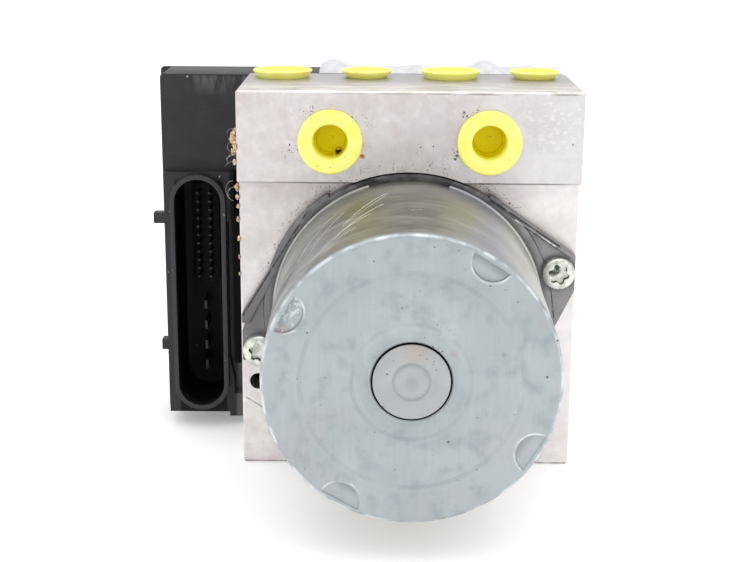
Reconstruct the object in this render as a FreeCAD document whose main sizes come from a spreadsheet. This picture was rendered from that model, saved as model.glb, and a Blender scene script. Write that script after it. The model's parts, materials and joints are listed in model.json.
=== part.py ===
import FreeCAD, Part
import os
import re
import Sketcher
from FreeCAD import Placement, Rotation, Vector

# Brake pressure modulator of a car: an aluminium valve block with a pump motor bolted to
# its front, an electronic controller behind it and moulded plugs in its six ports.
# Frame, in millimetres: X to the right seen from the motor, Y to the back, Z up. The origin
# lies in the block's bottom, midway between the two threaded bracket holes. Formulas give
# places along Y from the block's front face; place() moves them to the origin.

# Driving sizes
SIZES = {
    # Valve block
    "block_width": 96.0,
    "block_depth": 42.0,
    "block_height": 111.0,
    "band_height": 25.8,        # proud band across the top of the front face
    "face_step": 6.0,           # how far the lower face is set back from the band
    "edge_break": 0.5,
    "overrun": 1.0,             # how far a cutting tool stands out of the face it enters
    # Ports and their moulded plugs
    "front_port_inset": 2.0,
    "front_port_drop": 14.0,
    "front_port_radius": 5.5,
    "front_port_depth": 13.0,
    "front_plug_radius": 8.95,
    "front_plug_head": 1.6,
    "front_recess_radius": 4.75,
    "front_recess_depth": 9.0,
    "top_port_spread": 0.8,     # how much wider the top ports' pitch is than the valves'
    "top_port_setback": 8.7,
    "top_port_depth": 12.5,
    "large_port_radius": 5.5,
    "small_port_radius": 4.5,
    "large_plug_radius": 8.75,
    "large_plug_foot": 7.4,
    "small_plug_radius": 7.5,
    "small_plug_foot": 5.6,
    "top_plug_head": 2.3,
    "top_cup_depth": 1.2,
    "plug_rim": 1.5,            # width of a top plug's rim
    "plug_stem_length": 9.0,
    # Motor
    "pump_drop": 39.8,
    "can_length": 68.0,         # from the block's lower face to the can's end
    "can_base_radius": 37.8,
    "can_taper": 0.8,
    "can_wall": 2.8,
    "can_end_wall": 2.0,
    "can_corner": 1.6,
    "dent_radius": 5.1,
    "dent_inset": 1.4,
    "dent_margin": 0.5,
    "dent_angle": 59.2,
    "dent_depth": 1.2,
    "end_step_width": 9.7,  # shallow step pressed round the can's end
    "end_step_height": 0.35,
    "collar_wall": 1.6,
    "collar_length": 4.0,
    "cap_radius": 9.75,
    "cap_length": 9.0,
    "cap_wall": 1.6,
    "cap_groove_radius": 4.6,
    "cap_groove_width": 0.5,
    "cap_groove_depth": 0.4,
    "cap_gap": 0.35,            # open ring between cap and can at the end face
    "cap_gap_depth": 0.9,
    # Motor flange and its screws
    "flange_thickness": 5.2,
    "ring_wall": 2.0,
    "relief_gap": 0.6,          # round relief in the band, clear of the ring
    "ring_recess": 2.2,         # the can's edge sits this deep in the ring
    "ear_offset": 6.2,
    "ear_angle": 15.5,
    "ear_radius": 6.8,
    "short_ear_reach": 3.4,     # the left ear ends this far below its screw
    "ear_margin": 4.9,  # the ears are cut flat beside the block's sides
    "ear_step": 1.0,
    "hub_radius": 13.5,
    "hub_height": 1.8,
    "spigot_radius": 14.45,
    "spigot_length": 2.8,
    "spigot_lip_radius": 9.0,
    "flange_screw_radius": 2.5,
    "flange_screw_depth": 13.0,
    "screw_head_radius": 4.65,
    "screw_head_height": 3.2,
    "screw_head_crown": 0.9,
    "spotface_gap": 0.75,
    "torx_radius": 2.25,
    "torx_depth": 2.0,
    "seal_inset": 0.3,
    "seal_width": 1.8,
    "seal_depth": 1.5,
    # Rotor
    "bearing_radius": 11.0,
    "bearing_width": 7.0,
    "race_wall": 2.0,
    "bearing_shield": 0.5,
    "shaft_radius": 4.0,
    "shaft_tail_radius": 3.0,
    "can_bearing_width": 5.0,
    "running_gap": 0.03,        # radial clearance of a turning fit
    "end_float": 0.2,           # free play along a shaft
    "air_gap": 1.0,
    "core_length": 28.0,
    "core_front": 19.5,         # from the flange's recess forward to the core
    "slot_width": 3.2,
    "slot_depth": 10.0,
    "winding_inset": 2.9,
    "winding_inner_radius": 8.0,
    "winding_length": 5.0,
    "winding_round": 1.6,
    "magnet_wall": 5.6,
    "magnet_length": 36.0,
    "magnet_gap": 9.0,
    "commutator_radius": 10.0,
    "commutator_length": 8.0,
    "commutator_start": 5.5,    # from the flange's recess forward to the commutator
    "holder_gap": 0.1,
    "holder_bore": 14.0,
    "holder_thickness": 2.0,
    "brush_width": 5.0,
    "brush_height": 6.0,
    "brush_spring_room": 5.0,
    "brush_gap": 0.05,
    "brush_box_wall": 1.2,
    "brush_box_gap": 4.0,
    "brush_wire": 0.3,
    "brush_turns": 4.0,
    # Eccentric drive and pump
    "chamber_radius": 13.0,
    "chamber_floor": 8.0,
    "pilot_depth": 3.0,
    "fit_gap": 0.05,
    "throw": 0.8,               # offset of the eccentric journal
    "journal_radius": 5.0,
    "journal_start": 8.6,
    "journal_length": 11.0,
    "ring_outer_radius": 8.5,
    "eccentric_length": 9.0,
    "pump_y": 20.0,
    "pump_bore_radius": 7.0,
    "pump_seat_share": 0.3958,
    "pump_plug_radius": 9.0,
    "pump_plug_recess": 1.5,
    "pump_plug_dish": 5.0,
    "sleeve_start": 15.5,
    "piston_radius": 3.25,
    "piston_gap": 0.02,
    "guide_share": 0.511,
    "spring_room_radius": 5.3,
    "piston_reach": 3.0,
    "piston_collar_length": 1.4,
    "piston_collar_radius": 4.6,
    "pump_spring_radius": 3.9,
    "pump_spring_wire": 0.45,
    "pump_spring_turns": 4.0,
    "tip_gap": 0.05,
    # Low pressure accumulators
    "accumulator_inset": 2.0,
    "accumulator_radius": 10.5,
    "accumulator_drop": 17.2,
    "accumulator_gap": 0.04,
    "accumulator_share": 0.258,
    "accumulator_piston_wall": 2.0,
    "accumulator_top_gap": 0.2,
    "accumulator_cover_setback": 1.0,
    "accumulator_cover_wall": 1.5,
    "accumulator_cover_height": 3.5,
    "accumulator_spring_radius": 6.6,
    "accumulator_spring_wire": 0.7,
    "accumulator_spring_turns": 5.0,
    # Solenoid valves
    "inlet_row_drop": 23.0,
    "row_offset": 4.0,
    "valve_depth": 18.0,
    "valve_collar_depth": 9.0,
    "valve_collar_radius": 6.2,
    "valve_nose_radius": 4.0,
    "dome_radius": 4.6,
    "dome_height": 12.5,
    "dome_wall": 0.7,
    "dome_top": 1.2,
    "plunger_gap": 0.03,
    "plunger_seat_depth": 6.0,
    "plunger_start": 1.4,
    "needle_radius": 1.3,
    "needle_room": 0.3,
    "orifice_radius": 0.7,
    "orifice_length": 2.0,
    "valve_lift": 0.3,
    "seat_gap": 0.05,
    # Drillings in the block
    "drilling_radius": 1.75,
    "gallery_radius": 2.0,
    "gallery_start": 8.0,
    "inlet_gallery_rise": 5.0,
    "inlet_gallery_setback": 17.0,
    "outlet_gallery_setback": 14.0,
    "riser_setback": 10.5,
    "ball_radius": 3.6,
    "ball_depth": 7.6,
    "contact_share": 0.9,
    "contact_drop": 21.38,
    "contact_radius": 4.0,
    "contact_pin_radius": 0.8,
    "contact_pin_pitch": 3.4,
    "contact_pin_reach": 2.5,
    "mount_inset": 8.0,
    "mount_radius": 2.5,
    "mount_depth": 12.0,
    "vent_inset": 4.64,
    "vent_drop": 22.9,
    "vent_radius": 2.4,
    "vent_depth": 8.0,
    # Controller
    "connector_width": 27.0,
    "controller_inset": 0.5,
    "controller_bottom": 4.3,
    "controller_depth": 22.0,
    "controller_corner": 1.0,
    "controller_wall": 2.0,
    "cover_thickness": 2.0,
    "cover_rim": 1.5,
    "cover_lip": 2.7,           # how far the cover stands out beyond the housing on the left
    "cover_panel_margin": 11.0,
    "cover_panel_height": 0.8,
    "coil_room_reach": 1.0,
    "coil_room_drop": 26.5,
    "coil_margin": 2.6,
    "coil_wall": 1.0,
    "coil_gap": 0.15,
    "coil_length": 12.5,
    "winding_gap": 0.8,
    "board_setback": 4.4,       # from the controller's back to the board's back
    "board_thickness": 1.6,
    "board_margin": 0.4,
    "screw_inset": 3.5,
    "screw_rise": 3.7,
    "screw_drop": 6.5,
    "controller_screw_radius": 2.0,
    "controller_screw_depth": 9.0,
    "controller_head_radius": 3.6,
    "controller_head_height": 2.2,
    "post_radius": 3.3,
    "gasket_inset": 1.1,
    "gasket_offset": 5.5,
    "gasket_width": 1.8,
    "gasket_depth": 1.2,
    # Connector
    "shroud_inset": 11.5,
    "shroud_rise": 1.05,
    "shroud_width": 16.9,
    "shroud_margin": 2.3,
    "shroud_wall": 1.4,
    "shroud_reach": 9.0,
    "socket_depth": 23.0,
    "base_inset": 0.8,
    "base_gap": 7.3,
    "wing_gap": 4.8,
    "base_drop": 29.2,
    "base_reach": 4.5,
    "wing_height": 14.0,
    "foot_height": 19.0,
    "foot_drop": 1.4,
    "foot_rise": 6.2,
    "foot_gap": 0.5,
    "foot_width": 1.6,
    "tab_reach": 3.6,
    "tab_height": 3.2,
    "tab_thickness": 3.0,
    "upper_tab_rise": 22.75,
    "lower_tab_drop": 17.85,
    "lower_tab_reach": 2.2,
    "pin_size": 0.64,
    "pin_length": 8.0,
    "pin_columns": 3.7,
    "pin_rows": 11,
    "pin_share": 0.0359,
    "pin_margin": 8.5,
    "island_width": 8.4,
    "island_margin": 2.2,
    "island_height": 2.0,
    "blade_height": 2.8,
    "blade_thickness": 0.8,
    "blade_share": 0.0891,
    "blade_gap": 9.3,
}

# Sizes and places that follow the driving sizes
FOLLOWS = {
    "front_port_x": "block_width / 4 - front_port_inset",
    "front_port_z": "block_height - front_port_drop",
    "port_pitch": "block_width / 4",
    "top_port_pitch": "port_pitch + top_port_spread",
    "top_port_y": "block_depth - top_port_setback",
    "inlet_row_z": "block_height - inlet_row_drop",
    "outlet_row_z": "inlet_row_z - (port_pitch - row_offset)",
    "inlet_gallery_z": "inlet_row_z + inlet_gallery_rise",
    "inlet_gallery_y": "block_depth - inlet_gallery_setback",
    "outlet_gallery_y": "block_depth - outlet_gallery_setback",
    "riser_y": "block_depth - riser_setback",
    "motor_axis_z": "inlet_row_z - pump_drop",
    "contact_z": "contact_share * motor_axis_z - contact_drop",
    "mount_x": "block_width / 2 - mount_inset",
    "mount_y": "(face_step + block_depth) / 2",
    "vent_x": "block_width / 2 - vent_inset",
    "vent_z": "motor_axis_z - vent_drop",
    "chamber_depth": "block_depth - face_step - chamber_floor",
    "pump_seat_x": "pump_seat_share * block_width",
    "guide_end": "sleeve_start + guide_share * (pump_seat_x - sleeve_start)",
    "piston_collar_start": "guide_end + piston_reach",
    "accumulator_x": "block_width / 4 - accumulator_inset",
    "accumulator_y": "(face_step + block_depth) / 2",
    "accumulator_depth": "motor_axis_z - accumulator_drop",
    "accumulator_piston_length": "accumulator_share * accumulator_depth",
    "ring_radius": "can_base_radius + ring_wall",
    "ear_circle": "can_base_radius + ear_offset",
    "ear_reach": "ear_circle * cos(ear_angle) + ear_margin",
    "can_end_radius": "can_base_radius - can_taper",
    "can_inner_radius": "can_base_radius - can_wall",
    "dent_circle": "can_end_radius - dent_inset",
    "end_step_radius": "can_end_radius - end_step_width",
    "seal_radius": "can_base_radius - seal_inset",
    "core_radius": "can_inner_radius - magnet_wall - air_gap",
    "winding_radius": "core_radius - winding_inset",
    "holder_radius": "can_inner_radius - holder_gap",
    "brush_box_length": "can_inner_radius - holder_bore - brush_box_gap",
    "brush_length": "brush_box_length - brush_spring_room",
    "coil_radius": "port_pitch / 2 - coil_margin",
    "controller_left": "block_width / 2 + connector_width",
    "controller_right": "block_width / 2 - controller_inset",
    "controller_top": "block_height - controller_inset",
    "coil_room_left": "block_width / 2 + coil_room_reach",
    "coil_room_step_z": "controller_top - coil_room_drop",
    "screw_x": "controller_right - screw_inset",
    "screw_top_x": "top_port_pitch",
    "screw_bottom_z": "controller_bottom + screw_rise",
    "screw_top_z": "controller_top - screw_drop",
    "gasket_x": "controller_right - gasket_inset",
    "gasket_bottom_z": "screw_bottom_z + gasket_offset",
    "gasket_top_z": "screw_top_z - gasket_offset",
    "base_left": "controller_left - base_inset",
    "base_right": "block_width / 2 + base_gap",
    "base_wing": "block_width / 2 + wing_gap",
    "base_top": "controller_top - base_drop",
    "wing_bottom": "base_top - wing_height",
    "foot_top": "controller_bottom + foot_height",
    "shroud_x": "controller_left - shroud_inset",
    "shroud_z": "(base_top + controller_bottom) / 2 + shroud_rise",
    "shroud_height": "base_top - controller_bottom - shroud_margin",
    "upper_tab_z": "shroud_z + upper_tab_rise",
    "lower_tab_z": "shroud_z - lower_tab_drop",
    "pin_first_z": "shroud_z + shroud_height / 2 - pin_margin",
    "pin_pitch": "pin_share * shroud_height",
    "blade_first_z": "pin_first_z - (pin_rows - 1) * pin_pitch - blade_gap",
    "blade_pitch": "blade_share * shroud_height",
}

doc = FreeCAD.newDocument("brake_module")
sheet = doc.addObject("Spreadsheet::Sheet", "Sizes")
for row, (alias, value) in enumerate(SIZES.items(), start=1):
    sheet.set("A%d" % row, alias)
    sheet.set("B%d" % row, str(value))
    sheet.setAlias("B%d" % row, alias)
doc.recompute()

# Places that several pieces share, written as formulas of the sheet's sizes
BLOCK_BACK = "block_depth"
CAN_END = "(face_step - can_length)"
FLANGE_FRONT = "(face_step - flange_thickness)"
CAN_SEAT = "(face_step - flange_thickness + ring_recess)"
EAR_X = "(ear_circle * cos(ear_angle))"
EAR_RISE = "(ear_circle * sin(ear_angle))"
EAR_FRONT = "(face_step - flange_thickness + ear_step)"
CAP_BACK = "(face_step - can_length + cap_length)"
CAP_FLOOR = "(face_step - can_length + cap_wall + cap_gap_depth)"
HUB_FRONT = "(face_step - flange_thickness - hub_height)"
CORE_BACK = "(face_step - flange_thickness + ring_recess - core_front)"
CORE_FRONT = "(face_step - flange_thickness + ring_recess - core_front - core_length)"
COMMUTATOR_BACK = "(face_step - flange_thickness + ring_recess - commutator_start)"
COMMUTATOR_FRONT = "(face_step - flange_thickness + ring_recess - commutator_start - commutator_length)"
JOURNAL_START = "(face_step + journal_start)"
RING_START = "(face_step + journal_start + (journal_length - eccentric_length) / 2)"
TIP_X = "(ring_outer_radius + 2 * throw + tip_gap)"
CONTROLLER_BACK = "(block_depth + controller_depth)"
COVER_FRONT = "(block_depth + controller_depth - cover_thickness)"
BOARD_BACK = "(block_depth + controller_depth - board_setback)"
BOARD_FRONT = "(block_depth + controller_depth - board_setback - board_thickness)"
COIL_FLOOR = "(block_depth + controller_wall)"
SHROUD_FRONT = "(block_depth - shroud_reach)"
SOCKET_FLOOR = "(block_depth - shroud_reach + socket_depth)"
VALVE_PLACES = [(x, z) for z in ("inlet_row_z", "outlet_row_z")
                for x in ("-1.5 * port_pitch", "-0.5 * port_pitch", "0.5 * port_pitch", "1.5 * port_pitch")]
TOP_PORTS = ["-1.5 * top_port_pitch", "-0.5 * top_port_pitch", "0.5 * top_port_pitch", "1.5 * top_port_pitch"]
SCREW_PLACES = [("-screw_x", "screw_bottom_z"), ("screw_x", "screw_bottom_z"),
                ("-screw_top_x", "screw_top_z"), ("screw_top_x", "screw_top_z")]

# Directions that a turned or extruded piece's own Z axis can point
DIRECTIONS = {
    "up": Rotation(),
    "down": Rotation(Vector(1, 0, 0), 180),
    "back": Rotation(Vector(1, 0, 0), -90),
    "right": Rotation(Vector(0, 1, 0), 90),
    "left": Rotation(Vector(0, 1, 0), -90),
}
STEPS_PER_TURN = 12
MOTOR_AXIS = ("0", "0", "motor_axis_z")

nodes = []


def formula(text):
    """A formula of bare size names as the sheet's own names, with sizes that follow others worked in."""
    def spelled(match):
        word = match[0]
        if word in FOLLOWS:
            return "(" + formula(FOLLOWS[word]) + ")"
        return "Sizes." + word if word in SIZES else word

    return re.sub(r"[a-z_]+", spelled, text)


def bind(thing, **formulas):
    """Tie a thing's properties to the sheet."""
    for name, text in formulas.items():
        thing.setExpression(name.replace("__", "."), formula(text))
    return thing


def place(thing, at, direction="up"):
    """Turn a thing to a direction and tie its place to the sheet."""
    thing.Placement = Placement(Vector(), DIRECTIONS[direction])
    for axis, text in zip("xyz", at):
        from_origin = text + " - mount_y" if axis == "y" else text
        thing.setExpression("Placement.Base." + axis, formula(from_origin))
    return thing


def sketch_polygon(body, plane, points):
    """A closed polygon whose corners are each tied to the sheet."""
    sketch = body.newObject("Sketcher::SketchObject", body.Name + "_outline")
    origin_plane = [part for part in body.Origin.OriginFeatures if part.Role == plane][0]
    sketch.AttachmentSupport = (origin_plane, [""])
    sketch.MapMode = "FlatFace"
    count = len(points)
    corners = [Vector(index, index * index, 0) for index in range(count)]
    for index in range(count):
        sketch.addGeometry(Part.LineSegment(corners[index], corners[(index + 1) % count]))
    for index in range(count):
        sketch.addConstraint(Sketcher.Constraint("Coincident", index, 2, (index + 1) % count, 1))
    for index, point in enumerate(points):
        for kind, text in zip(("DistanceX", "DistanceY"), point):
            value = getattr(corners[index], kind[-1].lower())
            number = sketch.addConstraint(Sketcher.Constraint(kind, -1, 1, index, 1, value))
            sketch.setExpression("Constraints[%d]" % number, formula(text))
    return sketch


def turned(name, at, direction, points):
    """A piece turned about its own Z axis from points of radius and place along the axis."""
    body = doc.addObject("PartDesign::Body", name)
    sketch = sketch_polygon(body, "XZ_Plane", points)
    turn = body.newObject("PartDesign::Revolution", name + "_turn")
    turn.Profile = sketch
    turn.ReferenceAxis = (sketch, ["V_Axis"])
    turn.Angle = 360
    return place(body, at, direction)


def slab(name, at, thickness, points):
    """A plate outlined in X and Z that reaches forward, to -Y, from its place."""
    body = doc.addObject("PartDesign::Body", name)
    sketch = sketch_polygon(body, "XZ_Plane", points)
    pad = body.newObject("PartDesign::Pad", name + "_pad")
    pad.Profile = sketch
    bind(pad, Length=thickness)
    return place(body, at)


def steps(start, *stages):
    """Corners of a stepped outline: each stage is a radius and where it ends."""
    corners = []
    for radius, end in stages:
        corners += [(radius, start), (radius, end)]
        start = end
    return corners


def rod(start, *stages):
    """Half section of a solid stepped rod."""
    return [("0", start)] + steps(start, *stages) + [("0", stages[-1][1])]


def rectangle(left, bottom, right, top):
    return [(left, bottom), (right, bottom), (right, top), (left, top)]


def cylinder(name, at, direction, radius, length):
    drum = doc.addObject("Part::Cylinder", name)
    bind(drum, Radius=radius, Height=length)
    return place(drum, at, direction)


def box(name, at, width, depth, height):
    brick = doc.addObject("Part::Box", name)
    bind(brick, Length=width, Width=depth, Height=height)
    return place(brick, at)


def fused(name, shapes):
    union = doc.addObject("Part::MultiFuse", name)
    union.Shapes = shapes
    return union


def cut(name, base, tools):
    tool = tools[0] if len(tools) == 1 else fused(name + "_tools", tools)
    difference = doc.addObject("Part::Cut", name)
    difference.Base = base
    difference.Tool = tool
    return difference


def group(name, shapes):
    """Like pieces kept as separate solids under one name."""
    compound = doc.addObject("Part::Compound", name)
    compound.Links = shapes
    return compound


def node(label, thing):
    """Name a finished sub-part."""
    thing.Label = label
    nodes.append(thing)
    return thing


def valve_block():
    """Sawn aluminium block with every bore and drilling."""
    body = doc.addObject("PartDesign::Body", "block_stock")
    side = [("0", "block_height - band_height"), ("0", "block_height"), ("block_depth", "block_height"),
            ("block_depth", "0"), ("face_step", "0"), ("face_step", "block_height - band_height")]
    sketch = sketch_polygon(body, "YZ_Plane", side)
    pad = body.newObject("PartDesign::Pad", "block_pad")
    pad.Profile = sketch
    bind(pad, Length="block_width")
    doc.recompute()
    breaks = body.newObject("PartDesign::Chamfer", "block_edges")
    breaks.Base = (pad, [""])
    breaks.UseAllEdges = True
    bind(breaks, Size="edge_break")
    place(body, ("-block_width / 2", "0", "0"))
    tools = [
        turned("chamber_bore", MOTOR_AXIS, "back",
               rod("face_step - overrun", ("spigot_radius + fit_gap", "face_step + pilot_depth"),
                   ("chamber_radius", "face_step + chamber_depth"))),
        cylinder("ring_relief", ("0", "-overrun", "motor_axis_z"), "back",
                 "ring_radius + relief_gap", "face_step + overrun"),
        cylinder("contact_bore", ("0", "face_step - overrun", "contact_z"), "back",
                 "contact_radius", "block_depth - face_step + 2 * overrun"),
        cylinder("vent_bore", ("-vent_x", "face_step - overrun", "vent_z"), "back",
                 "vent_radius", "vent_depth + overrun"),
    ]
    for side_name, sign in (("left", "-"), ("right", "")):
        tools += [
            turned("front_port_" + side_name, (sign + "front_port_x", "0", "front_port_z"), "back",
                   rod("-overrun", ("front_port_radius", "front_port_depth"),
                       ("drilling_radius", "inlet_gallery_y"))),
            turned("pump_bore_" + side_name, ("0", "pump_y", "motor_axis_z"), side_name,
                   rod("chamber_radius / 2", ("pump_bore_radius", "pump_seat_x"),
                       ("pump_plug_radius", "block_width / 2 + overrun"))),
            turned("accumulator_bore_" + side_name, (sign + "accumulator_x", "accumulator_y", "0"), "up",
                   rod("-overrun", ("accumulator_radius", "accumulator_depth"))),
            cylinder("riser_" + side_name, (sign + "accumulator_x", "riser_y", "accumulator_depth - overrun"),
                     "up", "drilling_radius", "outlet_row_z - accumulator_depth + overrun"),
            turned("inlet_gallery_" + side_name, ("0", "inlet_gallery_y", "inlet_gallery_z"), side_name,
                   rod("gallery_start", ("gallery_radius", "block_width / 2 - ball_depth"),
                       ("ball_radius", "block_width / 2 + overrun"))),
            turned("outlet_gallery_" + side_name, ("0", "outlet_gallery_y", "outlet_row_z"), side_name,
                   rod("gallery_start", ("gallery_radius", "block_width / 2 - ball_depth"),
                       ("ball_radius", "block_width / 2 + overrun"))),
            cylinder("mount_bore_" + side_name, (sign + "mount_x", "mount_y", "-overrun"), "up",
                     "mount_radius", "mount_depth + overrun"),
        ]
    for number, (x, z) in enumerate(VALVE_PLACES, start=1):
        tools.append(turned("valve_bore_%d" % number, (x, "0", z), "back",
                            rod("block_depth - valve_depth", ("valve_nose_radius", "block_depth - valve_collar_depth"),
                                ("valve_collar_radius", "block_depth + overrun"))))
    for number, x in enumerate(TOP_PORTS, start=1):
        radius = "large_port_radius" if number % 2 else "small_port_radius"
        tools.append(turned("top_port_%d" % number, (x, "top_port_y", "0"), "up",
                            rod("outlet_row_z", ("drilling_radius", "block_height - top_port_depth"),
                                (radius, "block_height + overrun"))))
    for number, sign in enumerate(("", "-"), start=1):
        at = (sign + EAR_X, "face_step - overrun", "motor_axis_z + (" + sign + EAR_RISE + ")")
        tools.append(cylinder("flange_screw_bore_%d" % number, at, "back",
                              "flange_screw_radius", "flange_screw_depth + overrun"))
    for number, (x, z) in enumerate(SCREW_PLACES, start=1):
        tools.append(cylinder("controller_screw_bore_%d" % number, (x, "block_depth - controller_screw_depth", z),
                              "back", "controller_screw_radius", "controller_screw_depth + overrun"))
    node("valve_block", cut("block", body, tools))


def drilling_balls():
    """Steel balls pressed into the mouths of the cross drillings."""
    balls = []
    for side_name, sign in (("left", "-"), ("right", "")):
        for row, y, z in (("inlet", "inlet_gallery_y", "inlet_gallery_z"),
                          ("outlet", "outlet_gallery_y", "outlet_row_z")):
            ball = doc.addObject("Part::Sphere", "ball_%s_%s" % (row, side_name))
            bind(ball, Radius="ball_radius")
            balls.append(place(ball, (sign + "(block_width / 2 - ball_depth + ball_radius)", y, z)))
    node("drilling_balls", group("balls", balls))


def motor_can():
    """Deep drawn can: tapered outside, straight bore, collar for the bearing cap, edge dents."""
    wall = turned("can_wall", MOTOR_AXIS, "back", [
        ("cap_radius + cap_gap", CAN_END),
        ("end_step_radius", CAN_END),
        ("end_step_radius", CAN_END + " + end_step_height"),
        ("can_end_radius - can_corner", CAN_END + " + end_step_height"),
        ("can_end_radius - 0.3 * can_corner", CAN_END + " + end_step_height + 0.3 * can_corner"),
        ("can_end_radius", CAN_END + " + end_step_height + can_corner"),
        ("can_base_radius", CAN_SEAT),
        ("can_inner_radius", CAN_SEAT),
        ("can_inner_radius", CAN_END + " + can_end_wall"),
        ("cap_radius + collar_wall", CAN_END + " + can_end_wall"),
        ("cap_radius + collar_wall", CAN_END + " + can_end_wall + collar_length"),
        ("cap_radius", CAN_END + " + can_end_wall + collar_length"),
        ("cap_radius", CAN_END + " + cap_gap_depth"),
        ("cap_radius + cap_gap", CAN_END + " + cap_gap_depth"),
    ])
    marks = []
    for quarter in range(4):
        angle = "(dent_angle + %d)" % (90 * quarter)
        at = ("dent_circle * cos" + angle, CAN_END + " - overrun", "motor_axis_z + dent_circle * sin" + angle)
        marks.append(cylinder("dent_%d" % (quarter + 1), at, "back", "dent_radius", "dent_depth + overrun"))
    dents = doc.addObject("Part::Common", "dents")
    dents.Base = fused("dent_marks", marks)
    dents.Tool = cylinder("dent_limit", ("0", CAN_END + " - overrun", "motor_axis_z"), "back",
                          "can_end_radius - can_corner - dent_margin", "can_length")
    node("motor_can", cut("can", wall, [dents]))


def bearing_cap():
    """Cup pressed into the can's collar; it holds the rear bearing."""
    outline = [
        ("0", CAN_END),
        ("cap_groove_radius", CAN_END),
        ("cap_groove_radius", CAN_END + " + cap_groove_depth"),
        ("cap_groove_radius + cap_groove_width", CAN_END + " + cap_groove_depth"),
        ("cap_groove_radius + cap_groove_width", CAN_END),
        ("cap_radius", CAN_END),
        ("cap_radius", CAP_BACK),
        ("cap_radius - cap_wall", CAP_BACK),
        ("cap_radius - cap_wall", CAP_FLOOR),
        ("0", CAP_FLOOR),
    ]
    node("bearing_cap", turned("cap", MOTOR_AXIS, "back", outline))


def can_bearing():
    """Plain bearing bush in the cap."""
    front = CAP_FLOOR + " + end_float"
    back = CAP_FLOOR + " + end_float + can_bearing_width"
    outline = [("shaft_tail_radius + running_gap", front), ("cap_radius - cap_wall", front),
               ("cap_radius - cap_wall", back), ("shaft_tail_radius + running_gap", back)]
    node("can_bearing", turned("tail_bush", MOTOR_AXIS, "back", outline))


def motor_flange():
    """Cast diamond flange: a ring round the can, two ears, a hub and a spigot for the block."""
    across = "acos((ring_radius - ear_radius) / ear_circle)"

    def tangent(side, turn, radius=None):
        angle = "(%s * 1 deg %s %s)" % (turn, side, across)
        reach = radius or "ring_radius"
        centre = "ear_circle" if radius else "0"
        return ("%s * cos(%s * 1 deg) + %s * cos%s" % (centre, turn, reach, angle),
                "motor_axis_z + %s * sin(%s * 1 deg) + %s * sin%s" % (centre, turn, reach, angle))

    outline = []
    for turn in ("ear_angle", "(ear_angle + 180)"):
        outline += [tangent("-", turn), tangent("-", turn, "ear_radius"),
                    tangent("+", turn, "ear_radius"), tangent("+", turn)]
    plate = [slab("flange_web", ("0", "face_step", "0"), "flange_thickness - ear_step", outline)]
    screw_bores = []
    for number, sign in enumerate(("", "-"), start=1):
        centre = (sign + EAR_X, EAR_FRONT, "motor_axis_z + (" + sign + EAR_RISE + ")")
        plate.append(cylinder("flange_ear_%d" % number, centre, "back",
                              "ear_radius", "flange_thickness - ear_step"))
        screw_bores.append(cylinder("ear_bore_%d" % number, centre, "back",
                                    "flange_screw_radius", "flange_thickness"))
        screw_bores.append(cylinder("spotface_%d" % number, (centre[0], FLANGE_FRONT + " - overrun", centre[2]),
                                    "back", "screw_head_radius + spotface_gap", "ear_step + overrun"))
    web = fused("flange_plate", plate)
    trim = doc.addObject("Part::Common", "flange_trimmed")
    trim.Base = web
    trim.Tool = box("flange_limits", ("-ear_reach", "0", "0"), "2 * ear_reach", "block_depth", "block_height")
    below_ear = box("below_short_ear", ("-ear_reach - overrun", "0", "0"), "ear_reach", "block_depth",
                    "motor_axis_z - " + EAR_RISE + " - short_ear_reach")
    short_ear = cut("short_ear_trim", below_ear, [
        cylinder("ring_kept", ("0", "-overrun", "motor_axis_z"), "back", "ring_radius", "block_depth")])
    disc = turned("flange_disc", MOTOR_AXIS, "back", [
        ("bearing_radius", HUB_FRONT),
        ("hub_radius", HUB_FRONT),
        ("hub_radius", CAN_SEAT),
        ("can_base_radius", CAN_SEAT),
        ("can_base_radius", FLANGE_FRONT),
        ("ring_radius", FLANGE_FRONT),
        ("ring_radius", "face_step"),
        ("spigot_radius", "face_step"),
        ("spigot_radius", "face_step + spigot_length"),
        ("spigot_lip_radius", "face_step + spigot_length"),
        ("spigot_lip_radius", HUB_FRONT + " + bearing_width"),
        ("bearing_radius", HUB_FRONT + " + bearing_width"),
    ])
    hollow = cylinder("flange_eye", ("0", CAN_SEAT, "motor_axis_z"), "back", "hub_radius", "flange_thickness")
    opened = cut("flange_web_open", trim, [
        hollow, short_ear,
        cylinder("can_room", ("0", "0", "motor_axis_z"), "back", "can_base_radius", CAN_SEAT),
    ])
    groove = turned("seal_groove", MOTOR_AXIS, "back", [
        ("seal_radius - seal_width", "face_step - seal_depth"), ("seal_radius", "face_step - seal_depth"),
        ("seal_radius", "face_step + overrun"), ("seal_radius - seal_width", "face_step + overrun")])
    contact = cylinder("flange_contact_bore", ("0", HUB_FRONT, "contact_z"), "back",
                       "contact_radius", "flange_thickness + hub_height + overrun")
    whole = fused("flange_whole", [opened, disc])
    node("motor_flange", cut("flange", whole, screw_bores + [groove, contact]))


def motor_seal():
    """Flat seal ring in the back of the flange."""
    outline = [("seal_radius - seal_width", "face_step - seal_depth"), ("seal_radius", "face_step - seal_depth"),
               ("seal_radius", "face_step"), ("seal_radius - seal_width", "face_step")]
    node("motor_seal", turned("seal_ring", MOTOR_AXIS, "back", outline))


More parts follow.
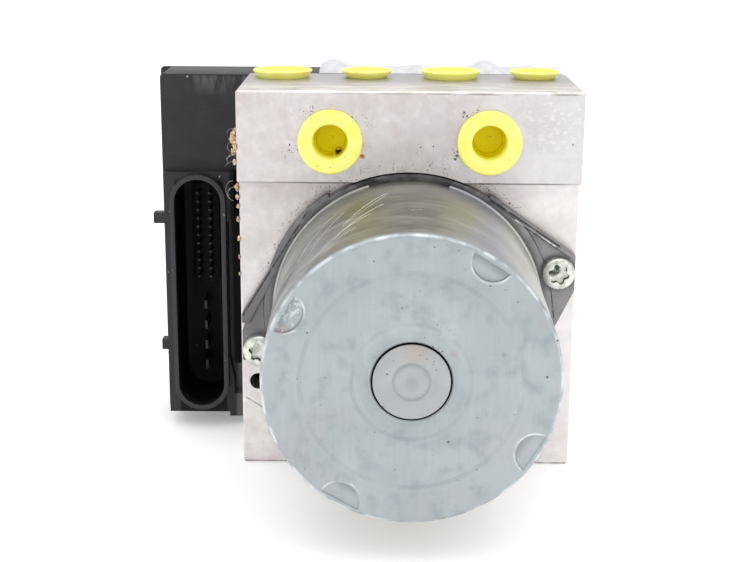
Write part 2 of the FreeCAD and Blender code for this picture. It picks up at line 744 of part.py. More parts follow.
def motor_screws():
    """Two pan head screws through the flange's ears, each with a six-lobed recess."""
    screws = []
    for number, sign in enumerate(("", "-"), start=1):
        at = (sign + EAR_X, "0", "motor_axis_z + (" + sign + EAR_RISE + ")")
        front = EAR_FRONT + " - screw_head_height"
        screw = turned("flange_screw_%d" % number, at, "back", [
            ("0", front),
            ("0.6 * screw_head_radius", front),
            ("0.9 * screw_head_radius", front + " + 0.4 * screw_head_crown"),
            ("screw_head_radius", front + " + screw_head_crown"),
            ("screw_head_radius", EAR_FRONT),
            ("flange_screw_radius", EAR_FRONT),
            ("flange_screw_radius", "face_step + flange_screw_depth - overrun"),
            ("0", "face_step + flange_screw_depth - overrun"),
        ])
        socket = doc.addObject("Part::Prism", "torx_%d" % number)
        socket.Polygon = 6
        bind(socket, Circumradius="torx_radius", Height="torx_depth + overrun")
        place(socket, (at[0], front + " - overrun", at[2]), "back")
        screws.append(cut("flange_screw_cut_%d" % number, screw, [socket]))
    node("motor_screws", group("flange_screws", screws))


def flange_bearing():
    """Ball bearing in the flange's hub: races with shields between them."""
    front = HUB_FRONT
    back = HUB_FRONT + " + bearing_width"
    outline = [
        ("shaft_radius", front),
        ("shaft_radius + race_wall", front),
        ("shaft_radius + race_wall", front + " + bearing_shield"),
        ("bearing_radius - race_wall", front + " + bearing_shield"),
        ("bearing_radius - race_wall", front),
        ("bearing_radius", front),
        ("bearing_radius", back),
        ("bearing_radius - race_wall", back),
        ("bearing_radius - race_wall", back + " - bearing_shield"),
        ("shaft_radius + race_wall", back + " - bearing_shield"),
        ("shaft_radius + race_wall", back),
        ("shaft_radius", back),
    ]
    outline = [(("shaft_radius + running_gap" if r == "shaft_radius" else r), along) for r, along in outline]
    node("flange_bearing", turned("hub_bearing", MOTOR_AXIS, "back", outline))


def rotor_shaft():
    """Shaft with a tail for the rear bush and an eccentric journal for the pump."""
    tail = CAP_FLOOR + " + end_float"
    tail_end = CAP_FLOOR + " + 2 * end_float + can_bearing_width"
    shaft = turned("shaft", MOTOR_AXIS, "back",
                   rod(tail, ("shaft_tail_radius", tail_end), ("shaft_radius", JOURNAL_START)))
    journal = cylinder("journal", ("0", JOURNAL_START, "motor_axis_z + throw"), "back",
                       "journal_radius", "journal_length")
    node("rotor_shaft", fused("rotor_shaft_whole", [shaft, journal]))


def rotor_core():
    """Slotted stack of laminations."""
    stack = turned("stack", MOTOR_AXIS, "back", [
        ("shaft_radius", CORE_FRONT), ("core_radius", CORE_FRONT),
        ("core_radius", CORE_BACK), ("shaft_radius", CORE_BACK)])
    slots = []
    for number in range(8):
        turn = "(%d * 45)" % number
        slot = doc.addObject("Part::Box", "slot_%d" % (number + 1))
        bind(slot, Length="slot_depth", Width="core_length + 2 * overrun", Height="slot_width")
        slot.Placement = Placement(Vector(), Rotation(Vector(0, 1, 0), -45 * number))
        reach = "(core_radius - slot_depth + 0.5)"
        bind(slot, Placement__Base__x=reach + " * cos" + turn + " + 0.5 * slot_width * sin" + turn,
             Placement__Base__y=CORE_FRONT + " - overrun - mount_y",
             Placement__Base__z="motor_axis_z + " + reach + " * sin" + turn + " - 0.5 * slot_width * cos" + turn)
        slots.append(slot)
    node("rotor_core", cut("laminations", stack, slots))


def rotor_windings():
    """Copper end turns on both faces of the core, as two rounded rings."""
    rings = []
    for end, face, sign in (("front", CORE_FRONT, " - "), ("back", CORE_BACK, " + ")):
        outer = face + sign + "winding_length"
        near = face + sign + "(winding_length - winding_round)"
        rings.append(turned("end_turns_" + end, MOTOR_AXIS, "back", [
            ("winding_inner_radius", face), ("winding_radius", face), ("winding_radius", near),
            ("winding_radius - winding_round", outer), ("winding_inner_radius + winding_round", outer),
            ("winding_inner_radius", near)]))
    node("rotor_windings", group("end_turns", rings))


def commutator():
    """Copper barrel that the brushes run on."""
    node("commutator", turned("barrel", MOTOR_AXIS, "back", [
        ("shaft_radius", COMMUTATOR_FRONT), ("commutator_radius", COMMUTATOR_FRONT),
        ("commutator_radius", COMMUTATOR_BACK), ("shaft_radius", COMMUTATOR_BACK)]))


def magnets():
    """Two arc magnets in the can, kept apart by a gap above and below."""
    middle = "(" + CORE_FRONT + " + " + CORE_BACK + ") / 2"
    ring = turned("magnet_ring", MOTOR_AXIS, "back", [
        ("can_inner_radius - magnet_wall", middle + " - magnet_length / 2"),
        ("can_inner_radius", middle + " - magnet_length / 2"),
        ("can_inner_radius", middle + " + magnet_length / 2"),
        ("can_inner_radius - magnet_wall", middle + " + magnet_length / 2")])
    gap = box("magnet_gap_room", ("-magnet_gap / 2", CAN_END, "motor_axis_z - can_base_radius"),
              "magnet_gap", "can_length", "2 * can_base_radius")
    node("magnets", cut("magnet_pair", ring, [gap]))


def brush_gear():
    """Brush holder plate with two boxes, a brush in each box and the spring behind it."""
    plate_front = CAN_SEAT + " - holder_thickness"
    middle = "(" + COMMUTATOR_FRONT + " + " + COMMUTATOR_BACK + ") / 2"
    plate = turned("holder_plate", MOTOR_AXIS, "back", [
        ("hub_radius", plate_front), ("holder_radius", plate_front),
        ("holder_radius", CAN_SEAT), ("hub_radius", CAN_SEAT)])
    height = "(brush_height / 2 + brush_gap + brush_box_wall)"
    box_depth = CAN_SEAT + " - (" + middle + ") + brush_width / 2 + brush_gap + brush_box_wall"
    boxes = []
    rooms = []
    springs = []
    for side_name, sign in (("left", "-"), ("right", "")):
        start = "holder_bore" if sign == "" else "-holder_bore - brush_box_length"
        boxes.append(box("brush_box_" + side_name,
                         (start, middle + " - brush_width / 2 - brush_gap - brush_box_wall",
                          "motor_axis_z - " + height),
                         "brush_box_length", box_depth, "2 * " + height))
        room_start = "holder_bore - overrun" if sign == "" else "brush_box_wall - holder_bore - brush_box_length"
        rooms.append(box("brush_room_" + side_name,
                         (room_start, middle + " - brush_width / 2 - brush_gap",
                          "motor_axis_z - brush_height / 2 - brush_gap"),
                         "brush_box_length - brush_box_wall + overrun", "brush_width + 2 * brush_gap",
                         "brush_height + 2 * brush_gap"))
        inner = "(commutator_radius + brush_gap)"
        brush_x = inner if sign == "" else "-" + inner + " - brush_length"
        stock = box("brush_stock_" + side_name,
                    (brush_x, middle + " - brush_width / 2", "motor_axis_z - brush_height / 2"),
                    "brush_length", "brush_width", "brush_height")
        curve = cylinder("brush_curve_" + side_name,
                         ("0", COMMUTATOR_FRONT + " - overrun", "motor_axis_z"), "back",
                         "commutator_radius + brush_gap", "commutator_length + 2 * overrun")
        node("brush_" + side_name, cut("brush_cut_" + side_name, stock, [curve]))
        springs.append(coil_spring(
            "brush_spring_" + side_name, ("0", middle, "motor_axis_z"), side_name,
            "brush_width / 2 - brush_wire - brush_gap", "brush_wire",
            "commutator_radius + brush_gap + brush_length",
            "holder_bore + brush_box_length - brush_box_wall", "brush_turns"))
    whole = fused("holder_whole", [plate] + boxes)
    contact = cylinder("holder_contact_bore", ("0", plate_front + " - overrun", "contact_z"), "back",
                       "contact_radius", "holder_thickness + 2 * overrun")
    node("brush_holder", cut("holder", whole, rooms + [contact]))
    node("brush_springs", group("brush_spring_pair", springs))


def coil_spring(name, at, direction, radius, wire, start, end, turns):
    """Compression spring between two seats: a six-sided wire wound in straight steps."""
    size = {word: number(text) for word, text in
            (("radius", radius), ("wire", wire), ("start", start), ("end", end), ("turns", turns))}
    stations = int(size["turns"]) * STEPS_PER_TURN
    rise = size["end"] - size["start"] - 2 * size["wire"]
    rings = []
    for station in range(stations + 1):
        turn = Rotation(Vector(0, 0, 1), 360.0 * station / STEPS_PER_TURN)
        level = size["start"] + size["wire"] + rise * station / stations
        ring = []
        for side in range(6):
            offset = Rotation(Vector(0, 1, 0), 60 * side).multVec(Vector(size["wire"], 0, 0))
            ring.append(turn.multVec(Vector(size["radius"], 0, 0) + offset) + Vector(0, 0, level))
        rings.append(ring)
    facets = [Part.Face(Part.makePolygon(ring + ring[:1])) for ring in (rings[0], rings[-1])]
    for near, far in zip(rings, rings[1:]):
        for side in range(6):
            after = (side + 1) % 6
            for corners in ((near[side], near[after], far[after]), (near[side], far[after], far[side])):
                facets.append(Part.Face(Part.makePolygon(list(corners) + [corners[0]])))
    spring = doc.addObject("Part::Feature", name)
    solid = Part.Solid(Part.Shell(facets))
    solid.fix(0.0001, 0.0001, 0.0001)
    spring.Shape = solid
    middle = Vector(number(at[0]), number(at[1] + " - mount_y"), number(at[2]))
    spring.Placement = Placement(middle, DIRECTIONS[direction])
    return spring


def number(text):
    """The value of a formula, worked out by the document."""
    probe = doc.addObject("App::FeaturePython", "probe")
    probe.addProperty("App::PropertyFloat", "value")
    probe.setExpression("value", formula(text))
    probe.recompute()
    value = probe.value
    doc.removeObject(probe.Name)
    return value


def eccentric_ring():
    """Needle bearing ring that pushes both pump pistons."""
    outline = [("journal_radius + running_gap", RING_START), ("ring_outer_radius", RING_START),
               ("ring_outer_radius", RING_START + " + eccentric_length"),
               ("journal_radius + running_gap", RING_START + " + eccentric_length")]
    node("eccentric_ring", turned("drive_ring", ("0", "0", "motor_axis_z + throw"), "back", outline))


def motor_contact():
    """Insulated post with two pins that carries the motor's current through the block."""
    front = CAN_SEAT + " - holder_thickness"
    post = cylinder("contact_post", ("0", front, "contact_z"), "back", "contact_radius",
                    BLOCK_BACK + " - (" + front + ")")
    pins = []
    for number_, sign in enumerate(("-", ""), start=1):
        pins.append(box("contact_pin_%d" % number_,
                        (sign + "contact_pin_pitch / 2 - contact_pin_radius", front + " - contact_pin_reach",
                         "contact_z - contact_pin_radius"),
                        "2 * contact_pin_radius", BOARD_BACK + " - (" + front + ") + contact_pin_reach",
                        "2 * contact_pin_radius"))
    node("motor_contact", fused("contact", [post] + pins))


def pump_elements():
    """Two opposed pump pistons, each in a sleeve with a return spring and a closing plug."""
    sleeves = []
    plugs = []
    for side_name in ("left", "right"):
        at = ("0", "pump_y", "motor_axis_z")
        guide = "piston_radius + piston_gap"
        sleeves.append(turned("sleeve_" + side_name, at, side_name, [
            (guide, "sleeve_start"), ("pump_bore_radius", "sleeve_start"), ("pump_bore_radius", "pump_seat_x"),
            ("spring_room_radius", "pump_seat_x"), ("spring_room_radius", "guide_end"), (guide, "guide_end")]))
        plug_end = "block_width / 2 - pump_plug_recess"
        plugs.append(turned("closing_plug_" + side_name, at, side_name, [
            ("0", "pump_seat_x"), ("pump_plug_radius", "pump_seat_x"), ("pump_plug_radius", plug_end + " - edge_break"),
            ("pump_plug_radius - edge_break", plug_end), ("pump_plug_dish", plug_end),
            ("pump_plug_dish", plug_end + " - 2 * edge_break"), ("0", plug_end + " - 2 * edge_break")]))
        collar_end = "piston_collar_start + piston_collar_length"
        node("pump_piston_" + side_name, turned("piston_" + side_name, at, side_name,
             rod(TIP_X, ("piston_radius", "piston_collar_start"), ("piston_collar_radius", collar_end))))
        node("pump_spring_" + side_name, coil_spring(
            "return_spring_" + side_name, at, side_name, "pump_spring_radius", "pump_spring_wire",
            collar_end, "pump_seat_x", "pump_spring_turns"))
    node("pump_sleeves", group("sleeves", sleeves))
    node("pump_plugs", group("closing_plugs", plugs))


def accumulators():
    """Two sprung pistons that take up fluid, closed by pressed covers in the block's bottom."""
    covers = []
    top = "accumulator_depth - accumulator_top_gap"
    bottom = top + " - accumulator_piston_length"
    roof = top + " - accumulator_piston_wall"
    seat = "accumulator_cover_setback + accumulator_cover_wall"
    for side_name, sign in (("left", "-"), ("right", "")):
        at = (sign + "accumulator_x", "accumulator_y", "0")
        outer = "accumulator_radius - accumulator_gap"
        inner = "accumulator_radius - accumulator_gap - accumulator_piston_wall"
        node("accumulator_piston_" + side_name, turned("store_piston_" + side_name, at, "up", [
            ("0", roof), (inner, roof), (inner, bottom), (outer, bottom), (outer, top), ("0", top)]))
        covers.append(turned("store_cover_" + side_name, at, "up", [
            ("0", "accumulator_cover_setback"), ("accumulator_radius", "accumulator_cover_setback"),
            ("accumulator_radius", "accumulator_cover_setback + accumulator_cover_height"),
            ("accumulator_radius - accumulator_cover_wall",
             "accumulator_cover_setback + accumulator_cover_height"),
            ("accumulator_radius - accumulator_cover_wall", seat), ("0", seat)]))
        node("accumulator_spring_" + side_name, coil_spring(
            "store_spring_" + side_name, at, "up", "accumulator_spring_radius", "accumulator_spring_wire",
            seat, roof, "accumulator_spring_turns"))
    node("accumulator_covers", group("store_covers", covers))


def valves():
    """Solenoid valve cartridges pressed into the block's back, each with its sliding plunger."""
    bore = "(dome_radius - dome_wall)"
    seat = "(block_depth - valve_depth + orifice_length)"
    room_start = "(block_depth - plunger_seat_depth)"
    dome_end = "(block_depth + dome_height)"
    room_end = "(block_depth + dome_height - dome_top)"
    cartridges = {"inlet": [], "outlet": []}
    for count, (x, z) in enumerate(VALVE_PLACES, start=1):
        kind = "inlet" if count <= 4 else "outlet"
        place_number = (count - 1) % 4 + 1
        cartridges[kind].append(turned("%s_cartridge_%d" % (kind, place_number), (x, "0", z), "back", [
            ("orifice_radius", "block_depth - valve_depth"),
            ("valve_nose_radius", "block_depth - valve_depth"),
            ("valve_nose_radius", "block_depth - valve_collar_depth"),
            ("valve_collar_radius", "block_depth - valve_collar_depth"),
            ("valve_collar_radius", "block_depth"),
            ("dome_radius", "block_depth"),
            ("dome_radius", dome_end + " - edge_break"),
            ("dome_radius - edge_break", dome_end),
            ("0", dome_end),
            ("0", room_end),
            (bore, room_end),
            (bore, room_start),
            ("needle_radius + needle_room", room_start),
            ("needle_radius + needle_room", seat),
            ("orifice_radius", seat),
        ]))
        lift = "seat_gap + valve_lift" if kind == "inlet" else "seat_gap"
        tip = seat + " + " + lift
        node("%s_plunger_%d" % (kind, place_number), turned(
            "%s_needle_%d" % (kind, place_number), (x, "0", z), "back",
            rod(tip, ("needle_radius", room_start + " + plunger_start"),
                (bore + " - plunger_gap", room_end + " - seat_gap - valve_lift"))))
    node("inlet_valves", group("inlet_cartridges", cartridges["inlet"]))
    node("outlet_valves", group("outlet_cartridges", cartridges["outlet"]))


def coils():
    """Solenoid coils over the valve domes: a steel yoke round each copper winding."""
    yokes = []
    windings = []
    start = COIL_FLOOR
    end = COIL_FLOOR + " + coil_length"
    bore = "dome_radius + coil_gap"
    room = [("dome_radius + coil_gap + winding_gap", start + " + coil_wall"),
            ("coil_radius - coil_wall", start + " + coil_wall"),
            ("coil_radius - coil_wall", end + " - coil_wall"),
            ("dome_radius + coil_gap + winding_gap", end + " - coil_wall")]
    for count, (x, z) in enumerate(VALVE_PLACES, start=1):
        shell = turned("yoke_shell_%d" % count, (x, "0", z), "back",
                       [(bore, start), ("coil_radius", start), ("coil_radius", end), (bore, end)])
        yokes.append(cut("yoke_%d" % count, shell,
                         [turned("yoke_room_%d" % count, (x, "0", z), "back", room)]))
        windings.append(turned("coil_%d" % count, (x, "0", z), "back", room))
    node("coil_yokes", group("yokes", yokes))
    node("coil_windings", group("coils", windings))


def stadium(name, front, depth, width, height):
    """A slot-shaped prism for the connector, from its front towards the back."""
    middle = box(name + "_middle", ("-shroud_x - (%s) / 2" % width, front,
                                    "shroud_z - (%s) / 2 + (%s) / 2" % (height, width)),
                 width, depth, "(%s) - (%s)" % (height, width))
    ends = []
    for end, sign in (("top", "+"), ("bottom", "-")):
        ends.append(cylinder(name + "_" + end,
                             ("-shroud_x", front, "shroud_z %s ((%s) - (%s)) / 2" % (sign, height, width)),
                             "back", "(%s) / 2" % width, depth))
    return fused(name, [middle] + ends)


def connector_pins():
    """Square signal pins in two columns and four flat power blades."""
    back = BOARD_BACK + " + pin_size"
    length = "pin_length + (" + back + ") - " + SOCKET_FLOOR
    front = SOCKET_FLOOR + " - pin_length"
    pins = []
    for column, sign in (("outer", "-"), ("inner", "+")):
        for row in range(int(SIZES["pin_rows"])):
            pins.append(box("pin_%s_%d" % (column, row + 1),
                            ("-shroud_x %s pin_columns / 2 - pin_size / 2" % sign, front,
                             "pin_first_z - %d * pin_pitch - pin_size / 2" % row),
                            "pin_size", length, "pin_size"))
    blades = []
    for row in range(4):
        blades.append(box("blade_%d" % (row + 1),
                          ("-shroud_x - blade_thickness / 2", front,
                           "blade_first_z - %d * blade_pitch - blade_height / 2" % row),
                          "blade_thickness", length, "blade_height"))
    return group("pin_field", pins), group("blade_field", blades)


def rounded_plate(name, back, thickness, inset, lip="0"):
    """The controller's outline with rounded corners, set in all round, with a lip on the left."""
    body = slab(name, ("0", back, "0"), thickness, rectangle(
        "-controller_left - " + lip + " + " + inset, "controller_bottom + " + inset,
        "controller_right - " + inset, "controller_top - " + inset))
    doc.recompute()
    pad = body.Tip
    corners = ["Edge%d" % (index + 1) for index, edge in enumerate(pad.Shape.Edges)
               if abs(edge.tangentAt(edge.FirstParameter).y) > 0.99]
    rounding = body.newObject("PartDesign::Fillet", name + "_corners")
    rounding.Base = (pad, corners)
    bind(rounding, Radius="controller_corner")
    return body


def controller():
    """Controller: moulded housing with the connector, board, cover, gasket and screws."""
    pins, blades = connector_pins()
    shell = rounded_plate("housing_shell", COVER_FRONT, "controller_depth - cover_thickness", "0")
    base = slab("connector_base", ("0", BLOCK_BACK, "0"), "base_reach", [
        ("-base_left", "controller_bottom"), ("-base_right", "controller_bottom"),
        ("-base_right", "controller_bottom - foot_drop"),
        ("-block_width / 2 - foot_gap", "controller_bottom - foot_drop"),
        ("-block_width / 2 - foot_gap", "controller_bottom + foot_rise"),
        ("-base_right + foot_width", "controller_bottom + foot_rise"),
        ("-base_right + foot_width", "foot_top - 5 * foot_width"), ("-base_right", "foot_top"),
        ("-base_right", "wing_bottom - foot_width"), ("-base_wing", "wing_bottom"),
        ("-base_wing", "base_top"), ("-base_left", "base_top")])
    tabs = [
        box("upper_tab", ("-base_left - tab_reach", "block_depth - tab_thickness", "upper_tab_z - tab_height / 2"),
            "tab_reach + overrun", "tab_thickness + overrun", "tab_height"),
        box("lower_tab", ("-base_left - lower_tab_reach", "block_depth - tab_thickness",
                          "lower_tab_z - tab_height / 2"),
            "lower_tab_reach + overrun", "tab_thickness + overrun", "tab_height"),
    ]
    shroud = stadium("shroud_outer", SHROUD_FRONT, "shroud_reach + overrun", "shroud_width", "shroud_height")
    posts = [cylinder("post_%d" % count, (x, BLOCK_BACK, z), "back", "post_radius",
                      BOARD_FRONT + " - " + BLOCK_BACK)
             for count, (x, z) in enumerate(SCREW_PLACES, start=1)]
    coil_room = slab("coil_room", ("0", COVER_FRONT + " + overrun", "0"),
                     COVER_FRONT + " + overrun - " + COIL_FLOOR, [
        ("-coil_room_left", "controller_bottom + controller_wall"),
        ("controller_right - controller_wall", "controller_bottom + controller_wall"),
        ("controller_right - controller_wall", "controller_top - controller_wall"),
        ("-controller_left + controller_wall", "controller_top - controller_wall"),
        ("-controller_left + controller_wall", "coil_room_step_z"),
        ("-coil_room_left", "coil_room_step_z")])
    board_room = slab("board_room", ("0", COVER_FRONT + " + overrun", "0"),
                      COVER_FRONT + " + overrun - " + BOARD_FRONT, rectangle(
        "-controller_left + controller_wall", "controller_bottom + controller_wall",
        "controller_right - controller_wall", "controller_top - controller_wall"))
    socket = stadium("socket", SHROUD_FRONT + " - overrun", "socket_depth + overrun",
                     "shroud_width - 2 * shroud_wall", "shroud_height - 2 * shroud_wall")
    gasket_room = gasket_ring("gasket_room", "gasket_depth")
    dome_holes = [cylinder("dome_hole_%d" % count, (x, BLOCK_BACK + " - overrun", z), "back",
                           "dome_radius + coil_gap", "controller_wall + 2 * overrun")
                  for count, (x, z) in enumerate(VALVE_PLACES, start=1)]
    contact_hole = box("contact_hole", ("-contact_pin_pitch / 2 - contact_pin_radius", BLOCK_BACK + " - overrun",
                                        "contact_z - contact_pin_radius"),
                       "contact_pin_pitch + 2 * contact_pin_radius", "controller_wall + 2 * overrun",
                       "2 * contact_pin_radius")
    screw_holes = [cylinder("screw_hole_%d" % count, (x, BLOCK_BACK + " - overrun", z), "back",
                            "controller_screw_radius", "controller_depth + 2 * overrun")
                   for count, (x, z) in enumerate(SCREW_PLACES, start=1)]
    hollow = cut("housing_hollow", fused("housing_outer", [shell, base, shroud] + tabs),
                 [coil_room, board_room, socket])
    island = box("pin_island", ("-shroud_x - island_width / 2", SOCKET_FLOOR + " - island_height",
                                "pin_first_z - (pin_rows - 1) * pin_pitch - island_margin"),
                 "island_width", "island_height + edge_break",
                 "(pin_rows - 1) * pin_pitch + 2 * island_margin")
    filled = fused("housing_filled", [hollow, island] + posts)
    node("controller_housing", cut("housing", filled, [gasket_room, contact_hole, pins, blades]
                                   + dome_holes + screw_holes))
    board_plate = slab("board_plate", ("0", BOARD_BACK, "0"), "board_thickness", rectangle(
        "-controller_left + controller_wall + board_margin", "controller_bottom + controller_wall + board_margin",
        "controller_right - controller_wall - board_margin", "controller_top - controller_wall - board_margin"))
    contact_pins = doc.getObject("contact")
    node("circuit_board", cut("board", board_plate, [pins, blades, contact_pins] + screw_holes))
    node("signal_pins", pins)
    node("power_blades", blades)
    node("controller_gasket", gasket_ring("gasket", "gasket_depth"))
    lid = rounded_plate("lid_plate", CONTROLLER_BACK, "cover_thickness", "0", "cover_lip")
    rim = slab("lid_rim", ("0", COVER_FRONT, "0"), "cover_rim", rectangle(
        "-controller_left + controller_wall", "controller_bottom + controller_wall",
        "controller_right - controller_wall", "controller_top - controller_wall"))
    rim_room = slab("lid_rim_room", ("0", COVER_FRONT, "0"), "cover_rim", rectangle(
        "-controller_left + 2 * controller_wall", "controller_bottom + 2 * controller_wall",
        "controller_right - 2 * controller_wall", "controller_top - 2 * controller_wall"))
    lid_posts = [cylinder("lid_post_%d" % count, (x, BOARD_BACK, z), "back", "post_radius",
                          COVER_FRONT + " - " + BOARD_BACK)
                 for count, (x, z) in enumerate(SCREW_PLACES, start=1)]
    posts_inside = doc.addObject("Part::Common", "lid_posts_inside")
    posts_inside.Base = fused("lid_posts", lid_posts)
    posts_inside.Tool = slab("lid_posts_limit", ("0", COVER_FRONT, "0"), "controller_depth", rectangle(
        "-controller_left + controller_wall", "controller_bottom + controller_wall",
        "controller_right - controller_wall", "controller_top - controller_wall"))
    panel = rounded_plate("lid_panel", CONTROLLER_BACK + " + cover_panel_height",
                          "cover_panel_height + edge_break", "cover_panel_margin")
    cover = fused("lid_whole", [lid, cut("lid_rim_open", rim, [rim_room]), posts_inside, panel])
    node("controller_cover", cut("lid", cover, screw_holes))
    screws = [turned("controller_screw_%d" % count, (x, "0", z), "back",
                     rod("block_depth - controller_screw_depth",
                         ("controller_screw_radius", CONTROLLER_BACK),
                         ("controller_head_radius", CONTROLLER_BACK + " + controller_head_height")))
              for count, (x, z) in enumerate(SCREW_PLACES, start=1)]
    node("controller_screws", group("long_screws", screws))


def gasket_ring(name, depth):
    """Rectangular ring against the block's back, inside the four screws."""
    frame = box(name + "_outer", ("-gasket_x", BLOCK_BACK, "gasket_bottom_z"), "2 * gasket_x", depth,
                "gasket_top_z - gasket_bottom_z")
    inside = box(name + "_inner", ("-gasket_x + gasket_width", BLOCK_BACK, "gasket_bottom_z + gasket_width"),
                 "2 * (gasket_x - gasket_width)", depth, "gasket_top_z - gasket_bottom_z - 2 * gasket_width")
    return cut(name, frame, [inside])


def front_plugs():
    """Plugs in the two ports of the front band, each with a blind hole in its face."""
    for side_name, sign in (("left", "-"), ("right", "")):
        node("front_plug_" + side_name, turned(
            "front_stopper_" + side_name, (sign + "front_port_x", "0", "front_port_z"), "back", [
                ("front_recess_radius", "-front_plug_head"),
                ("front_plug_radius - edge_break", "-front_plug_head"),
                ("front_plug_radius", "edge_break - front_plug_head"),
                ("front_plug_radius", "0"),
                ("front_port_radius", "0"),
                ("front_port_radius", "front_port_depth - edge_break"),
                ("0", "front_port_depth - edge_break"),
                ("0", "front_recess_depth - front_plug_head"),
                ("front_recess_radius", "front_recess_depth - front_plug_head"),
            ]))


def top_plugs():
    """Conical headed plugs in the four top ports, large and small in turn."""
    for count, x in enumerate(TOP_PORTS, start=1):
        size = "large" if count % 2 else "small"
        head = size + "_plug_radius"
        top = "block_height + top_plug_head"
        node("top_plug_%d" % count, turned("top_stopper_%d" % count, (x, "top_port_y", "0"), "up", [
            ("0", "block_height - plug_stem_length"),
            (size + "_port_radius", "block_height - plug_stem_length"),
            (size + "_port_radius", "block_height"),
            (size + "_plug_foot", "block_height"),
            (head, top + " - edge_break"),
            (head, top),
            (head + " - plug_rim", top),
            (head + " - plug_rim - edge_break", top + " - top_cup_depth"),
            ("0", top + " - top_cup_depth")]))


valve_block()
drilling_balls()
motor_can()
bearing_cap()
can_bearing()
motor_flange()
motor_seal()
motor_screws()
flange_bearing()
rotor_shaft()
rotor_core()
rotor_windings()
commutator()
magnets()
brush_gear()
eccentric_ring()
motor_contact()
pump_elements()
accumulators()
valves()
coils()
controller()
front_plugs()
top_plugs()
doc.recompute()

for thing in doc.Objects:
    if any(word in thing.State for word in ("Invalid", "Error")):
        raise RuntimeError("%s did not build: %s" % (thing.Name, thing.State))
for thing in nodes:
    if thing.Shape.isNull() or not thing.Shape.isValid() or not thing.Shape.Solids:
        raise RuntimeError("%s has no valid solid" % thing.Label)

os.makedirs("parts", exist_ok=True)
for thing in nodes:
    thing.Shape.exportStep("parts/%s.step" % thing.Label)
print("wrote", len(nodes), "nodes")
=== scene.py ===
# %% [markdown]
# # A brake pressure modulator, dressed for its portrait
# The part is the hydraulic unit of an anti-lock brake system: a block of bare aluminium, a pump
# motor bolted to its front, a black plastic controller behind it and yellow plugs in its ports.
# The solids come from the CAD model, already in place. This notebook adds what the eye wants:
# a camera and lights, a finish for every surface, and finely shaped pieces where the plain
# solids look too hard. All lengths are in metres, so sizes in millimetres are times MM.

# %% Load the solids
import json
import math
import random

import bpy
from mathutils import Euler, Matrix, Vector


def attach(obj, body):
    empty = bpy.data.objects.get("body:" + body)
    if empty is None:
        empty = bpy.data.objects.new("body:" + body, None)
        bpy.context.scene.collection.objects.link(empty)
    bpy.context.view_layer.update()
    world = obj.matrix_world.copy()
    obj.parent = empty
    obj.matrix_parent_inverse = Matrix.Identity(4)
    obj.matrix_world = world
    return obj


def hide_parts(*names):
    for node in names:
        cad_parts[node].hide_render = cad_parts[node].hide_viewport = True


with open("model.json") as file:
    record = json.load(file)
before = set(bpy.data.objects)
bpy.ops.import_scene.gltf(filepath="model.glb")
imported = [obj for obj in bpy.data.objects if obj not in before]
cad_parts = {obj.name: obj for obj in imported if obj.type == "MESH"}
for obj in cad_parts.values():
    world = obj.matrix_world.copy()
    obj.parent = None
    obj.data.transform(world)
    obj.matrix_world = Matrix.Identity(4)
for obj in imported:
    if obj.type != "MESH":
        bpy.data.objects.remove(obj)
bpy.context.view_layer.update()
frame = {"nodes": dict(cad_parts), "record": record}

MM = 0.001
BODY = "unit"

# %% [markdown]
# ## The camera
# The photograph was taken from the front, a little to the left and a little above. The camera
# stands where its picture has the same perspective, and the lens gives the same size.

# %% Camera
CAMERA_PLACE = Vector((-7.4536, -415.8159, 160.329)) * MM
TURN, TILT, ROLL = 0.00486, -0.25694, 0.00674  # radians, from a level camera that looks along Y
SENSOR, LENS = 36, 68.756  # mm
camera = bpy.data.objects.new("camera", bpy.data.cameras.new("camera"))
bpy.context.scene.collection.objects.link(camera)
camera.data.sensor_width = SENSOR
camera.data.lens = LENS
camera.data.clip_start = 0.01
camera.matrix_world = (Matrix.Translation(CAMERA_PLACE) @ Matrix.Rotation(TURN, 4, "Z")
                       @ Matrix.Rotation(math.pi / 2 + TILT, 4, "X")
                       @ Matrix.Rotation(ROLL, 4, "Z"))
bpy.context.scene.camera = camera
print("camera", round(camera.data.lens, 1), "mm lens")

# %% [markdown]
# ## Tools for materials
# Colours are picked on a screen, so they are sRGB, while a shader adds up light, which is linear:
# one function turns the first to the second. A material is a tree of nodes, and each new one
# starts with the place of every point of the piece. One small function adds a node with its
# options and its inputs, where an input is a plain value or the output of another node.

# %% Colours and nodes
def linear(screen):
    """The linear colour of an sRGB hex value."""
    parts = [int(screen[start:start + 2], 16) / 255 for start in (1, 3, 5)]
    return [part / 12.92 if part < 0.04045 else ((part + 0.055) / 1.055) ** 2.4
            for part in parts] + [1.0]


class Tree:
    """A material in the making: its nodes, and the place of each point of the piece."""

    def __init__(self, name):
        self.material = bpy.data.materials.new(name)
        self.material.use_nodes = True
        self.material.node_tree.nodes.clear()
        self.place = self.add("TexCoord").outputs["Object"]
        self.x, self.y, self.z = self.add("SeparateXYZ", {0: self.place}).outputs

    def add(self, kind, inputs=(), **options):
        """Add one node with its options, then fill its inputs with values or outputs."""
        made = self.material.node_tree.nodes.new("ShaderNode" + kind)
        for name, value in options.items():
            setattr(made, name, value)
        for name, value in dict(inputs).items():
            if isinstance(value, bpy.types.NodeSocket):
                self.material.node_tree.links.new(value, made.inputs[name])
            else:
                made.inputs[name].default_value = value
        return made


print("white is", linear("#ffffff"))

# %% [markdown]
# A finish is painted as on a canvas: a ground colour first, then layer over layer, each with a
# mask that says where it lies. A mask runs from 0 to 1 and is made of soft noise, of a range
# along an axis, of the distance from a point or of a drawn line, and masks are multiplied so
# that a layer keeps to one place. A bump at the end gives the surface a skin.

